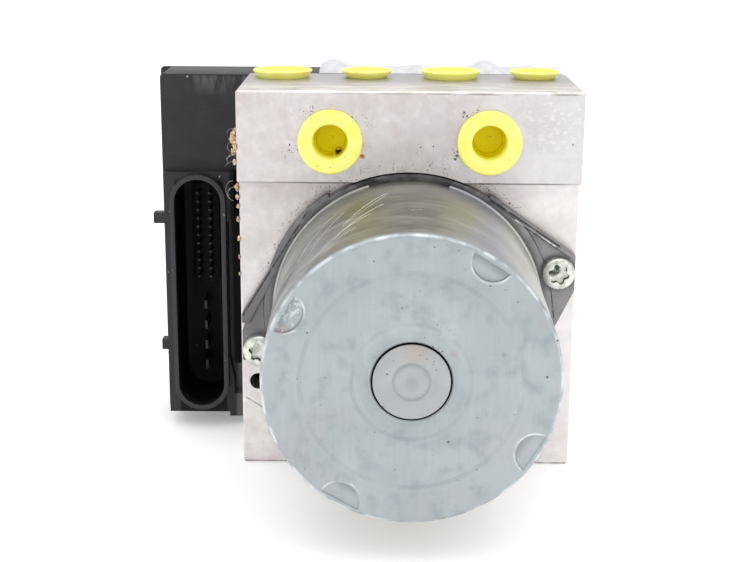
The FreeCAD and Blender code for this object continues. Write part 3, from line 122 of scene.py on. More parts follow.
# %% Masks and layers
class Finish(Tree):
    """A material that is painted in layers, with its masks. Sizes and places are in mm."""

    def __init__(self, name, ground):
        super().__init__(name)
        self.colour = linear(ground)

    def patches(self, size, start, end, detail=3.0, stretch=(1, 1, 1), shift=0.0, place=None):
        """Soft patches about size across, from 0 to 1 as the noise goes from start to end."""
        moved = self.add("Mapping", {"Vector": place or self.place, "Scale": stretch,
                                     "Location": (shift, shift, shift)})
        noise = self.add("TexNoise", {"Vector": moved.outputs[0], "Scale": 1 / (size * MM),
                                      "Detail": detail})
        return self.add("MapRange", {"Value": noise.outputs[0], "From Min": start,
                                     "From Max": end}).outputs[0]

    def rise(self, value, start, end):
        """From 0 to 1 while a length, or "x", "y" or "z", goes from start to end."""
        value = getattr(self, value) if isinstance(value, str) else value
        return self.add("MapRange", {"Value": value, "From Min": start * MM,
                                     "From Max": end * MM}).outputs[0]

    def region(self, *limits):
        """Where several lengths have all risen, each limit as for rise."""
        return self.merge(*[self.rise(*limit) for limit in limits])

    def near(self, x, z, inner, outer):
        """Seen along Y, 1 within the inner distance from a point and 0 beyond the outer one."""
        flat = self.add("VectorMath", {0: self.place, 1: (1, 0, 1)}, operation="MULTIPLY")
        away = self.add("VectorMath", {0: flat.outputs[0], 1: (x * MM, 0, z * MM)},
                        operation="DISTANCE").outputs["Value"]
        return self.rise(away, outer, inner)

    def stroke(self, start, stop, width):
        """Seen along Y, a straight line between two points given by X and Z."""
        along = Vector((stop[0] - start[0], 0, stop[1] - start[1]))
        across = Vector((-along.z, 0, along.x)).normalized()
        origin = Vector((start[0], 0, start[1])) * MM
        shifted = self.add("VectorMath", {0: self.place, 1: origin}, operation="SUBTRACT")
        masks = []
        for direction, middle, reach in ((along / along.length_squared / MM, 0.5, 0.5),
                                         (across, 0.0, width / 2 * MM)):
            share = self.add("VectorMath", {0: shifted.outputs[0], 1: direction},
                             operation="DOT_PRODUCT").outputs["Value"]
            masks.append(self.add("Math", {0: share, 1: middle, 2: reach},
                                  operation="COMPARE").outputs[0])
        return self.merge(*masks)

    def merge(self, *masks, how="MULTIPLY"):
        """Masks combined: by default where all of them are."""
        whole = masks[0]
        for mask in masks[1:]:
            whole = self.add("Math", {0: whole, 1: mask}, operation=how, use_clamp=True).outputs[0]
        return whole

    def spots(self, table, inner, outer):
        """Round spots given by X, Z and size, with inner and outer as shares of the size."""
        return self.merge(0.0, *[self.near(x, z, inner * size, outer * size)
                                 for x, z, size in table], how="MAXIMUM")

    def paint(self, mask, over, strength=1.0):
        """Lay a hex colour, or one made of layers, over the colour so far."""
        if strength < 1:
            mask = self.merge(mask, strength)
        over = linear(over) if isinstance(over, str) else over
        self.colour = self.add("Mix", {0: mask, 6: self.colour, 7: over},
                               data_type="RGBA").outputs[2]

    def start_again(self, ground):
        """Give back the colour so far and start on a new ground, for another region."""
        done = self.colour
        self.colour = linear(ground) if isinstance(ground, str) else ground
        return done

    def close(self, shader, relief=None, depth=0.0):
        """End the tree: the colour and a bump of that depth go to the shader."""
        shader = {"Base Color": self.colour, **shader}
        if depth:
            shader["Normal"] = self.add("Bump", {"Height": relief, "Distance": depth * MM,
                                                 "Strength": 1.0}).outputs[0]
        surface = self.add("BsdfPrincipled", shader)
        self.add("OutputMaterial", {"Surface": surface.outputs[0]})
        print("finish:", self.material.name, len(self.material.node_tree.nodes), "nodes")
        return self.material


# %% [markdown]
# ## Bare aluminium
# The block is sawn from an extruded bar and left bare. The eye sees a pale satin metal with a
# pinkish bloom in patches, faint lines from the saw, a scatter of dark grit that gathers round
# the plugs and along the motor, and a warm stain on the top near the front edge. The band with
# the ports stands proud and is greyer than the face below it.

# %% Tones of the block
BLOCK_TOP, BAND_FOOT = 111.0, 85.0     # Z
BAND_FRONT, BLOCK_FRONT = -24.0, -18.0  # Y
bare = Finish("bare_sawn_aluminium", "#e2dfde")
tone = bare.patches(30, 0.35, 0.7)
bare.paint(tone, "#d5d2d1")
face_below = bare.start_again("#dedada")
bare.paint(tone, "#cfcbcb")
normal_y = bare.add("SeparateXYZ", {0: bare.add("NewGeometry").outputs["Normal"]}).outputs[1]
facing_front = bare.add("MapRange", {"Value": normal_y, "From Min": -0.4,
                                     "From Max": -0.9}).outputs[0]
below = bare.merge(bare.rise("z", BAND_FOOT + 0.3, BAND_FOOT - 0.2), facing_front)
on_band = bare.merge(bare.rise("z", BAND_FOOT - 0.2, BAND_FOOT + 0.3), facing_front)
bare.paint(below, face_below)
CLOUDS = [  # size in mm, two noise levels, detail, stretch, shift, colour, strength
    (11, 0.42, 0.66, 3, (1, 1, 1), 3, "#d0c5c8", 0.8),     # pinkish bloom
    (16, 0.5, 0.72, 3, (1, 1, 0.5), 9, "#cfc9c2", 0.6),    # haze
    (7, 0.5, 0.75, 3, (0.4, 1, 1), 5, "#beb6b2", 0.4),     # smears
    (2.6, 0.45, 0.66, 4, (1, 1, 1), 11, "#c3bab8", 0.35),  # mottle
    (3.4, 0.52, 0.7, 4, (1, 1, 1), 17, "#f1eeee", 0.3),    # frost
]
for *pattern, tint, strength in CLOUDS:
    bare.paint(bare.patches(*pattern), tint, strength)
# Painted light: the face below the band grows paler towards the right, where more light falls.
bare.paint(bare.merge(bare.rise("x", 20, 48), below), "#f4f2f0", 0.3)
bare.paint(bare.merge(bare.rise("x", 22, 40), on_band), "#cbccd0", 0.6)
saw_lines = bare.patches(0.5, 0.3, 0.7, stretch=(1, 1, 0.04))
bare.paint(saw_lines, "#f6f4f3", 0.05)
print("layers of cloud:", len(CLOUDS))

# %% [markdown]
# The top comes next. Its front is paler and its back greyer, and brown stains, marks of its
# life, lie between them.

# %% Top of the block
on_top = bare.rise("z", BLOCK_TOP - 0.6, BLOCK_TOP - 0.1)
edge = bare.region(("z", BLOCK_TOP - 1.0, BLOCK_TOP - 0.7),
                   ("y", BAND_FRONT + 1.1, BAND_FRONT + 0.8), ("x", -40, 20))
bare.paint(bare.merge(edge, bare.patches(8, 0.42, 0.54, shift=31)), "#7f776f", 0.75)
bare.paint(bare.merge(bare.rise("y", -9, -15), on_top), "#f7f3ec", 0.6)
bare.paint(bare.merge(bare.rise("y", -8, 1), on_top), "#a3a4a7", 0.65)
wiped = bare.patches(5, 0.46, 0.6, detail=4, stretch=(0.35, 1.6, 1), shift=21)
bare.paint(bare.merge(wiped, on_top), "#aca69c", 0.5)
stained = bare.patches(4, 0.5, 0.6, stretch=(0.5, 1, 1))
bare.paint(bare.merge(on_top, bare.rise("y", -12, -22), stained), "#a59384", 0.45)

# %% [markdown]
# Grit stays where a hand can't wipe: it is fine noise, kept to clumps near chosen points and
# round the motor. The biggest crumbs are placed one by one. A rust spot, scuffs on the upper
# right corner, a few straight scores and painted shade inside the vent hole end the block.

# %% Grit, rust and scores on the block
AXIS_Z = 48.2  # height of the motor's axis
GRITTY = [  # X, Z and reach
    (12.9, 92.8, 2.2), (16.6, 105.4, 2.0), (25.3, 87.6, 1.6), (-13.6, 100.9, 2.6),
    (-12.8, 95.5, 1.4), (-27.9, 105.5, 2.0), (3, 95, 1.2), (6, 90, 1.2), (-32.5, 93.5, 2.0),
    (20, 82, 4), (29, 77, 3), (-22, 82, 3),
]
round_motor = bare.merge(bare.near(0, AXIS_Z, 42, 45), 0.6)
crowded = bare.merge(0.03, bare.spots(GRITTY, 0.4, 1.7), round_motor, how="MAXIMUM")
grit = bare.patches(0.6, 0.59, 0.64, detail=1.0)
bare.paint(bare.merge(grit, crowded, bare.patches(2.5, 0.42, 0.52, shift=7)), "#453d39")
CRUMBS = [  # X, Z and size
    (14.8, 105.2, 0.45), (15.6, 104.4, 0.3), (14.5, 104.1, 0.3), (18.6, 106.1, 0.35),
    (13.2, 94.5, 0.35), (13.0, 93.3, 0.45), (12.6, 92.4, 0.4), (24.9, 88.6, 0.3),
    (3.0, 95.6, 0.25), (6.5, 95.9, 0.25), (44.9, 96.6, 0.3), (-16.1, 103.7, 0.35),
    (-15.0, 102.6, 0.4), (-13.5, 99.0, 0.4), (-33.2, 96.1, 0.3),
]
ragged = bare.merge(bare.spots(CRUMBS, 0.5, 1.3), bare.patches(0.5, 0.4, 0.5, shift=23))
on_band_front = bare.rise("y", BAND_FRONT + 2.0, BAND_FRONT + 0.5)
bare.paint(bare.merge(ragged, on_band_front), "#3a332f")
rusty = bare.merge(bare.near(-13.1, 93.0, 0.4, 0.9), bare.patches(0.6, 0.35, 0.5))
bare.paint(rusty, "#b5641e")
scuffs = bare.patches(0.9, 0.5, 0.72, stretch=(0.6, 1, 0.9), shift=13)
corner = bare.merge(bare.near(41, 104, 3, 15), 0.06, how="ADD")
bare.paint(bare.merge(scuffs, corner), "#f4f2f1", 0.4)
SCORES = [((-47.1, 20.3), (-42.1, 17.2), 0.45), ((-48, 0.4), (48, 0.4), 0.5)]  # ends and width
scored = bare.merge(*[bare.stroke(*score) for score in SCORES], how="ADD")
on_front = bare.rise("y", BLOCK_FRONT + 1.0, BLOCK_FRONT + 0.4)
bare.paint(bare.merge(scored, bare.patches(1.5, 0.3, 0.5), on_front), "#7d7372", 0.7)
# Painted shade: the inside of the vent hole is painted near black, where little light reaches.
vent = bare.near(-43.36, 25.3, 2.32, 2.42)
behind_front = bare.rise("y", BLOCK_FRONT + 0.1, BLOCK_FRONT + 0.5)
bare.paint(bare.merge(vent, behind_front), "#120d0b")
shine = bare.add("MapRange", {"Value": tone, "To Min": 0.34, "To Max": 0.46}).outputs[0]
bare_aluminium = bare.close({"Metallic": 0.85, "Roughness": shine}, saw_lines, 0.004)

# %% [markdown]
# ## Zinc plated drawn steel
# The motor's can is pressed from sheet and plated with zinc. Its flat end looks cool and bluish
# with soft clouds; faint rings of painted shade lie on the steps that the press left, and painted
# shade darkens the dip round the cap and the cap's groove and dimple. The cap in its middle is a
# little warmer. The distance from the motor's axis tells them apart, so it is worked out first.

# %% End of the can
END_Y = -86.0  # the can's flat end
CAP_RADIUS, OPENING_RADIUS = 9.6, 9.9
zinc = Finish("zinc_plated_drawn_steel", "#a3a8ab")
centred = zinc.add("Mapping", {"Vector": zinc.place, "Location": (0, 0, -AXIS_Z * MM)}).outputs[0]
flat = zinc.add("VectorMath", {0: centred, 1: (1, 0, 1)}, operation="MULTIPLY").outputs[0]
radius = zinc.add("VectorMath", {0: flat}, operation="LENGTH").outputs["Value"]
zinc.paint(zinc.patches(5, 0.4, 0.65, shift=6), "#abadaf")
zinc.paint(zinc.near(1, 56.5, 1, 6.5), "#b1a59c", 0.5)
# Painted shade in the cap's groove and in the dimple at its middle.
groove = zinc.region((radius, 5.0, 4.6), (radius, 3.6, 4.3))
pip = zinc.merge(zinc.rise(radius, 1.9, 0.7), 0.8)
zinc.paint(zinc.merge(groove, pip, how="ADD"), "#93979b", 0.6)
cap_colour = zinc.start_again("#a3acaf")
zinc.paint(zinc.patches(16, 0.3, 0.7), "#aab1b3")
zinc.paint(zinc.patches(22, 0.5, 0.7, shift=4), "#a7a8ad", 0.8)
zinc.paint(zinc.patches(5, 0.5, 0.7, shift=2), "#949ca1", 0.7)
zinc.paint(zinc.patches(1.1, 0.45, 0.7, stretch=(1, 1, 0.12), shift=7), "#bcc2c5", 0.16)
# Painted shade: faint dark rings along the steps pressed into the end.
PRESS_RINGS = [(14.7, 0.5, 0.5), (27.3, 0.6, 0.45), (11.9, 1.3, 0.25)]  # radius, half width, share
rings = 0.0
for ring_radius, half_width, share in PRESS_RINGS:
    circle = zinc.add("Math", {0: radius, 1: ring_radius * MM, 2: half_width * MM},
                      operation="COMPARE").outputs[0]
    rings = zinc.merge(rings, zinc.merge(circle, share), how="ADD")
zinc.paint(zinc.merge(rings, zinc.patches(9, 0.35, 0.6, shift=8)), "#969ca1")
# Painted shade in the dip round the cap, broken up by noise.
halo = zinc.merge(zinc.rise(radius, 12.2, 10.0), zinc.patches(8, 0.3, 0.6, shift=5))
zinc.paint(halo, "#85898b", 0.45)
zinc.paint(zinc.rise(radius, CAP_RADIUS + 0.15, CAP_RADIUS + 0.05), cap_colour)
print("press rings:", len(PRESS_RINGS))

# %% [markdown]
# The can's wall is darker and warmer than its end, and paler to the left and right where it
# turns to the light. Broad and fine marks of the drawing die run together into blotches. Towards
# the flange the wall is painted paler as painted light, and the rim between wall and end gets a
# painted highlight.

# %% Wall of the can
left, right = zinc.rise("x", -10, -28), zinc.rise("x", 6, 30)
broad = zinc.patches(9, 0.36, 0.66, detail=6, stretch=(0.6, 1, 0.6), place=centred)
fine = zinc.patches(2.4, 0.36, 0.62, stretch=(0.4, 1, 0.4), place=centred)
blotches = zinc.add("Mix", {0: 0.35, 2: broad, 3: fine}, data_type="FLOAT").outputs[0]
end_colour = zinc.start_again("#a5a198")
zinc.paint(left, "#c0c1c1")
zinc.paint(right, "#d2d1ce")
light_wall = zinc.start_again("#6f6b61")
zinc.paint(left, "#808183")
zinc.paint(right, "#bbbab5")
zinc.paint(blotches, light_wall)
olive = zinc.patches(9, 0.45, 0.65, stretch=(0.7, 1, 0.7), place=centred)
zinc.paint(zinc.merge(olive, zinc.rise("x", 6, -10)), "#827e66", 0.45)
# Painted light: the wall is painted paler towards the flange, to lift the shade there.
zinc.paint(zinc.rise("y", -44, -32), "#b3b2ae", 0.6)
zinc.paint(zinc.near(17, 82, 4, 13), "#9fa4b8", 0.45)
wall_colour = zinc.start_again(end_colour)
wall = zinc.rise("y", END_Y + 1.4, END_Y + 2.6)
zinc.paint(wall, wall_colour)
# Painted highlight along the rounded rim between wall and end.
rim = zinc.region((radius, 36.1, 36.5), ("y", END_Y + 1.0, END_Y + 0.75))
zinc.paint(zinc.merge(rim, zinc.patches(5, 0.42, 0.58)), "#dfe4e8", 0.75)
print("wall and rim:", len(zinc.material.node_tree.nodes), "nodes so far")

# %% [markdown]
# Four stake marks are struck near the rim. Each gets painted shade on its floor, towards the rim
# in the upper marks and along the arc in the lower ones, and a painted highlight on the lip along
# its round edge. The left one has begun to rust.

# %% Colour of the stake marks
STAKES = [57.9, 150.9, 240.5, 329.2]  # angles round the motor in degrees
STAKE_OUT, STAKE_RADIUS = 35.75, 5.1
dent = zinc.region(("y", END_Y + 0.15, END_Y + 0.4), (radius, 29, 29.5), (radius, 35.8, 35.5))
dent = zinc.merge(dent, wall, how="SUBTRACT")
# Painted shade on each stake mark's floor: towards the rim in the upper marks, along the arc in
# the lower ones.
upper = zinc.region((radius, 33.2, 35.2), ("z", 45, 55))
lower = zinc.region((radius, 33.4, 31.0), ("z", 52, 42))
zinc.paint(zinc.merge(dent, zinc.merge(upper, lower, how="ADD")), "#767c80", 0.65)
flecks = zinc.merge(dent, zinc.patches(1.1, 0.5, 0.62, shift=1), zinc.near(-31.2, 65.6, 5.5, 6.5))
zinc.paint(flecks, "#d5d8d9", 0.6)
# Painted highlight along the lip on the round edge of each stake mark.
lip_highlight = 0.0
for degrees in STAKES:
    turn = math.radians(degrees)
    middle = STAKE_OUT * math.cos(turn), AXIS_Z + STAKE_OUT * math.sin(turn)
    outer = zinc.near(*middle, STAKE_RADIUS + 0.35, STAKE_RADIUS + 0.55)
    inner = zinc.near(*middle, STAKE_RADIUS - 0.05, STAKE_RADIUS + 0.1)
    lip_highlight = zinc.merge(lip_highlight, zinc.merge(outer, inner, how="SUBTRACT"), how="ADD")
lip_highlight = zinc.merge(lip_highlight, zinc.rise(radius, 35.6, 34.8), zinc.patches(4, 0.38, 0.6, shift=3),
                  zinc.rise("y", END_Y + 0.7, END_Y + 0.3))
zinc.paint(lip_highlight, "#e6eaec", 0.6)
rusty = zinc.merge(zinc.near(-31.2, 60.9, 0.8, 2.0), zinc.patches(0.6, 0.42, 0.6))
zinc.paint(zinc.merge(rusty, wall, how="SUBTRACT"), "#b28371", 0.6)
print("stake marks:", len(STAKES))

# %% [markdown]
# A few smudges and many small nicks lie on the end, each drawn where it is on the real one, and
# the gap round the cap is dark because no light reaches into it.

# %% Smudges and nicks
SMUDGES = [  # X, Z, inner and outer radius, colour and strength
    (9.9, 55.4, 0.3, 1.4, "#a0857f", 0.4), (22.3, 55.6, 0.2, 0.9, "#8a9095", 0.6),
    (-1.2, 67.3, 0.2, 0.9, "#8a9095", 0.5), (12.4, 76.7, 0.1, 0.7, "#8a9095", 0.6),
    (9.2, 61.3, 1.8, 2.6, "#b6bfc2", 0.5), (-29.5, 49.0, 0.5, 2.0, "#b0bab4", 0.5),
]
for smudge_x, smudge_z, inner, outer, tint, strength in SMUDGES:
    smudge = zinc.merge(zinc.near(smudge_x, smudge_z, inner, outer), strength,
                        zinc.patches(1.0, 0.3, 0.55, shift=smudge_x))
    zinc.paint(zinc.merge(smudge, wall, how="SUBTRACT"), tint)
NICKS = [  # X, Z and size
    (5.0, 57.3, 0.3), (7.3, 56.1, 0.25), (39.4, 47.5, 0.3), (3.0, 59.6, 0.2), (6.4, 57.0, 0.2),
    (9.2, 33.0, 0.4), (-15.0, 9.0, 0.35), (2.0, 55.1, 0.18), (3.6, 54.2, 0.2),
    (5.2, 52.9, 0.18), (5.9, 51.4, 0.2), (5.4, 53.6, 0.15), (-6.0, 50.2, 0.3),
    (32.8, 49.9, 0.4), (35.0, 59.1, 0.35), (-25.3, 60.6, 0.3), (-27.8, 48.9, 0.2),
]
specks = zinc.patches(0.9, 0.79, 0.80, detail=1.0)
zinc.paint(zinc.merge(specks, zinc.spots(NICKS, 0.6, 1.0), how="MAXIMUM"), "#4f4c49", 0.8)
gap = zinc.region((radius, CAP_RADIUS - 0.08, CAP_RADIUS), ("y", END_Y + 3, END_Y + 2),
                  (radius, OPENING_RADIUS + 0.04, OPENING_RADIUS - 0.02))
zinc.paint(gap, "#1d1d1e")
print("nicks:", len(NICKS), "smudges:", len(SMUDGES))

# %% [markdown]
# Bright scratches cross the upper left of the wall. Each runs between two angles round the
# motor while it goes from one place along Y to another, and bows a little on the way.

# %% Scratches on the can
centred_z = zinc.add("SeparateXYZ", {0: centred}).outputs[2]
angle = zinc.add("Math", {0: centred_z, 1: zinc.x}, operation="ARCTAN2").outputs[0]
SCRATCHES = [  # start and end angle in degrees, start and end place along Y, bow and width
    (118, 98, -60, -36, 2.0, 0.8), (116, 99, -57, -38, -2.0, 0.5),
    (122, 101, -70, -50, 1.0, 0.6), (128, 106, -72, -58, 0.5, 0.5),
    (135, 118, -66, -44, 1.0, 0.6), (141, 122, -60, -40, 1.5, 0.6), (90, 86, -60, -59, 0.0, 0.35),
    (146, 128, -72, -52, 0.5, 0.3), (133, 112, -76, -68, 0.5, 0.3),
]
scratched = 0.0
for first, last, back, front, bow, width in SCRATCHES:
    along = zinc.add("MapRange", {"Value": angle, "From Min": math.radians(first),
                                  "From Max": math.radians(last)}, clamp=False).outputs[0]
    inside = zinc.add("Math", {0: along, 1: 0.5, 2: 0.5}, operation="COMPARE").outputs[0]
    rest = zinc.add("Math", {0: 1.0, 1: along}, operation="SUBTRACT").outputs[0]
    arched = zinc.add("Math", {0: along, 1: rest}, operation="MULTIPLY").outputs[0]
    line = zinc.add("Math", {0: along, 1: (front - back) * MM, 2: back * MM},
                    operation="MULTIPLY_ADD").outputs[0]
    line = zinc.add("Math", {0: arched, 1: 4 * bow * MM, 2: line},
                    operation="MULTIPLY_ADD").outputs[0]
    off = zinc.add("Math", {0: zinc.y, 1: line}, operation="SUBTRACT").outputs[0]
    off = zinc.add("Math", {0: off}, operation="ABSOLUTE").outputs[0]
    scratch = zinc.merge(zinc.rise(off, width, 0.3 * width), inside)
    scratched = zinc.merge(scratch, scratched, how="ADD")
skipped = zinc.patches(2.5, 0.3, 0.5, place=centred)
zinc.paint(zinc.merge(scratched, skipped), "#e8ecfa", 0.85)
shine = zinc.add("MapRange", {"Value": blotches, "To Min": 0.42, "To Max": 0.55}).outputs[0]
zinc_plate = zinc.close({"Metallic": 0.9, "Roughness": shine}, zinc.merge(blotches, wall), 0.01)

# %% [markdown]
# ## Cast flange and zinc screws
# The flange that holds the motor is a casting: a dull mid grey with a fine pebbled skin, darker
# against the can and in patches towards the top. Painted shade darkens its left ear and rings the
# right screw's head, and the edges of its ears are drawn with a few lines of painted shade and one
# of painted highlight. The screws are plated in a pale zinc with a hint of green, smoother than
# the casting, and their recesses are darker down the walls, with a dark spot on the upper left of
# the floor.

# %% Flange finish
SCREWS = [(42.4, AXIS_Z + 11.76), (-42.4, AXIS_Z - 11.76)]  # X and Z of the motor's screws
cast = Finish("cast_zinc_grey", "#8b8a8b")
cast.paint(cast.patches(6, 0.4, 0.65), "#777678")
cast.paint(cast.near(0, AXIS_Z, 38.6, 40.2), "#4c4b4a", 0.45)
dark_top_patches = cast.patches(3, 0.3, 0.6, stretch=(0.5, 1, 1), shift=2)
cast.paint(cast.merge(cast.rise("z", 76, 86), dark_top_patches), "#2f2e30", 0.85)
# Painted shade: the left ear is darker, where less light falls.
cast.paint(cast.rise("x", -30, -36), "#5d5d60", 0.6)
# Painted shadow: a dark ring round the right screw's head on the flange.
cast.paint(cast.near(42.2, 59.8, 4.9, 6.0), "#4c4c4e", 0.6)
# Painted light: the dark lines are painted shade along the ears' edges and steps, the pale one a
# painted highlight.
EAR_LINES = [  # two ends, width and colour of a line drawn on the ears
    ((22.6, 81.0), (42.6, 67.6), 0.45, "#3b3b3d"), ((29.7, 75.3), (41.4, 67.6), 0.4, "#dcdcda"),
    ((31.0, 74.0), (42.0, 66.6), 0.35, "#4a4a4b"), ((40.6, 54.6), (41.8, 46.4), 0.4, "#4a4a4b"),
    ((-28.4, 77.2), (-47.1, 46.6), 0.45, "#3c3c3f"),
]
for first, last, width, tint in EAR_LINES:
    broken_up = cast.patches(1.8, 0.3, 0.5, shift=first[0])
    cast.paint(cast.merge(cast.stroke(first, last, width), broken_up), tint)
cast_metal = cast.close({"Metallic": 0.85, "Roughness": 0.4}, cast.patches(0.8, 0.3, 0.7), 0.03)

# %% Screw finish
HEAD_FRONT, RECESS_FLOOR = -25.4, -23.2  # Y
plated = Finish("clear_zinc_plated_steel", "#dadcd5")
stain = plated.patches(1.6, 0.45, 0.7)
plated.paint(stain, "#b4b8ae")
plated.paint(plated.patches(0.4, 0.62, 0.7, shift=4), "#6d7268", 0.5)
in_recess = plated.spots([(x, z, 1.0) for x, z in SCREWS], 3.1, 3.2)
behind_head = plated.rise("y", HEAD_FRONT + 0.2, HEAD_FRONT + 0.5)
# The recesses are darker down their walls, with a dark spot on the upper left of the floor.
darker_in_recess = plated.merge(behind_head, plated.rise("y", RECESS_FLOOR - 0.1, RECESS_FLOOR - 0.4))
for (x, z), strength in zip(SCREWS, (1.0, 0.35)):
    spot = plated.merge(plated.near(x - 1.3, z + 1.0, 1.7, 2.3), strength)
    darker_in_recess = plated.merge(darker_in_recess, spot, how="MAXIMUM")
patchy = plated.add("MapRange", {"Value": plated.patches(0.9, 0.35, 0.5, shift=2),
                                 "To Min": 0.6}).outputs[0]
plated.paint(plated.merge(darker_in_recess, in_recess, behind_head, patchy), "#3f463c")
zinc_screw = plated.close({"Metallic": 0.9, "Roughness": 0.32}, stain, 0.01)

# %% [markdown]
# ## Yellow plugs
# Transport plugs are moulded from soft polyethylene. It is a strong yellow that lets a little
# light in, so its shadows stay warm; the skin is smooth with a faint orange-peel and picks up
# fine black grit. Light bounces about in the recess, which makes its yellow deeper.

# %% Plug finish
yellow = Finish("yellow_polyethylene", "#fbfa8a")
orange_peel = yellow.patches(4, 0.4, 0.6)
yellow.paint(orange_peel, "#faf578")
in_hole = yellow.region(("y", -24.6, -18), ("z", 107, 106))
yellow.paint(in_hole, "#f0e000")
greasy = yellow.merge(yellow.near(-19.6, 93.2, 0.9, 1.5), in_hole, yellow.patches(0.9, 0.42, 0.5))
yellow.paint(greasy, "#3a2f12")
yellow.paint(yellow.patches(0.7, 0.76, 0.775, detail=1.0), "#4a3a1c", 0.8)
dull = yellow.add("MapRange", {"Value": in_hole, "To Min": 0.5, "To Max": 0.1}).outputs[0]
yellow_pe = yellow.close({"Roughness": 0.38, "IOR": 1.51, "Specular IOR Level": dull,
                          "Subsurface Weight": 0.12,
                          "Subsurface Radius": (1.2 * MM, 1.0 * MM, 0.3 * MM)}, orange_peel, 0.02)

# %% [markdown]
# ## Black moulded plastic
# The controller's housing is glass filled polyester: near black, slightly blue, half matt with
# a fine grain. Pale dust lies on its ledges and in a few white specks, the top front edge gets a
# streaky painted highlight, and the foot is painted paler as light from the floor.

# %% Housing finish
black = Finish("black_glass_filled_polyester", "#101014")
black.paint(black.patches(18, 0.35, 0.7), "#1b1b20")
normal_z = black.add("SeparateXYZ", {0: black.add("NewGeometry").outputs["Normal"]}).outputs[2]
ledges = black.add("MapRange", {"Value": normal_z, "From Min": 0.4, "From Max": 0.95}).outputs[0]
dust = black.merge(black.patches(7, 0.4, 0.8, detail=6), black.merge(ledges, 0.35, how="ADD"))
black.paint(dust, "#6f6c72", 0.13)
black.paint(black.patches(1.2, 0.845, 0.855, detail=0.0), "#b5b3ae", 0.7)
black.paint(black.patches(0.6, 0.62, 0.72, stretch=(0.12, 1, 1), shift=6), "#5d5c60", 0.12)
# Painted highlight, streaky, along the top front edge.
top_edge = black.region(("z", 104, 109), ("z", 110.3, 110.0), ("x", -68, -60), ("y", 24, 22))
edge_highlight = black.patches(2.5, 0.42, 0.6, stretch=(1, 1, 0.25), shift=3)
black.paint(black.merge(top_edge, edge_highlight), "#8d8b90", 0.3)
# Painted light: the foot is painted paler, lit by light from the floor.
foot = black.region(("x", -53.5, -52.5), ("x", -45, -46), ("y", 27, 26), ("z", 19.4, 18.8))
black.paint(foot, "#8a898c", 0.35)

# %% [markdown]
# The socket is so deep that little light finds its way out again, and the strip between it and
# the block lies in shade. Both get a blacker tone of painted shade and less shine, and the
# socket's front rim gets a paler painted highlight.

# %% Shade of the socket
socket = black.region(("x", -71.1, -70.7), ("x", -55.9, -56.3), ("y", 9.6, 14), ("y", 34, 33),
                      ("z", 80, 78))
black.paint(socket, "#050507", 0.9)
# Painted highlight on the socket's front rim.
black.paint(black.rise("y", 9.5, 9.3), "#3b3a40", 0.4)
beside = black.region(("x", -54.6, -53.6), ("x", -46.5, -47.5), ("y", 33, 32), ("z", 84, 80),
                      ("z", 18.8, 19.6))
black.paint(beside, "#060608", 0.85)
gloss = black.add("MapRange", {"Value": black.merge(socket, beside, how="MAXIMUM"),
                               "To Min": 0.36, "To Max": 0.1}).outputs[0]
black_pbt = black.close({"Roughness": 0.48, "IOR": 1.57, "Specular IOR Level": gloss},
                        black.patches(0.45, 0.3, 0.7), 0.02)


# %% [markdown]
# ## Label film and dried dirt
# A blank white polyester label is stuck over the controller's top and has lifted in two places.
# Lumps of dry yellow-brown dirt hang on the block's left edge, with a few grey fibres of lint.
# Such surfaces need just two colours, so one function makes them: patches of the second lie on
# the first, and the same patches stand up as relief.

# %% Label, dirt and lint finishes
def two_tone(name, ground, over, pattern, shader, depth=0.0, strength=1.0, stretch=(1, 1, 1)):
    """A finish of two colours. A pattern is the patches' size in mm and two noise levels."""
    finish = Finish(name, ground)
    mask = finish.patches(*pattern, stretch=stretch)
    finish.paint(mask, over, strength)
    return finish.close(shader, mask, depth)


label_film = two_tone("white_polyester_label", "#dbdcdf", "#c6c8cc", (3, 0.35, 0.65),
                      {"Roughness": 0.35, "IOR": 1.6}, 0.06, stretch=(1, 0.4, 1))
dry_dirt = two_tone("dry_road_dirt", "#e9cfae", "#b08a62", (0.7, 0.4, 0.62),
                    {"Roughness": 0.9}, 0.2)
grey_lint = two_tone("grey_lint", "#c9c4bb", "#8f8a82", (0.5, 0.4, 0.6),
                     {"Roughness": 0.8, "Sheen Weight": 0.3})

# %% [markdown]
# ## Finishes inside the unit
# These surfaces hide until the unit is taken apart: ground steel shafts and pistons, ferrite
# magnets, carbon brushes, a brown brush holder, dull tinned pins, rubber and a bronze bush. Each
# is what it would be in a real motor or controller. Ground steel has long fine lines, so its
# patches are stretched along one axis.

# %% Plain inner finishes
ground_steel = two_tone("ground_bearing_steel", "#b9babb", "#d2d3d4", (0.25, 0.3, 0.7),
                        {"Metallic": 1.0, "Roughness": 0.22}, 0.002, stretch=(1, 0.05, 1))
ferrite = two_tone("sintered_ferrite", "#3a3b3d", "#4b4c4f", (0.5, 0.35, 0.65),
                   {"Metallic": 0.1, "Roughness": 0.55}, 0.02)
carbon = two_tone("pressed_carbon", "#222226", "#3c3a3a", (0.3, 0.35, 0.65),
                  {"Metallic": 0.3, "Roughness": 0.5}, 0.02)
holder_plastic = two_tone("brown_phenolic", "#4a3527", "#5b4331", (6, 0.35, 0.65),
                          {"Roughness": 0.45}, 0.02, stretch=(1, 1, 0.4))
tin_plate = two_tone("tin_plated_brass", "#4b4843", "#33312e", (0.6, 0.4, 0.7),
                     {"Metallic": 0.95, "Roughness": 0.5}, 0.005)
seal_rubber = two_tone("black_seal_rubber", "#1b1b1b", "#3a3937", (3, 0.45, 0.75),
                       {"Roughness": 0.7}, 0.02, strength=0.5)
bronze = two_tone("sintered_bronze", "#a9814a", "#5b4022", (0.4, 0.6, 0.68),
                  {"Metallic": 0.95, "Roughness": 0.4}, 0.03)

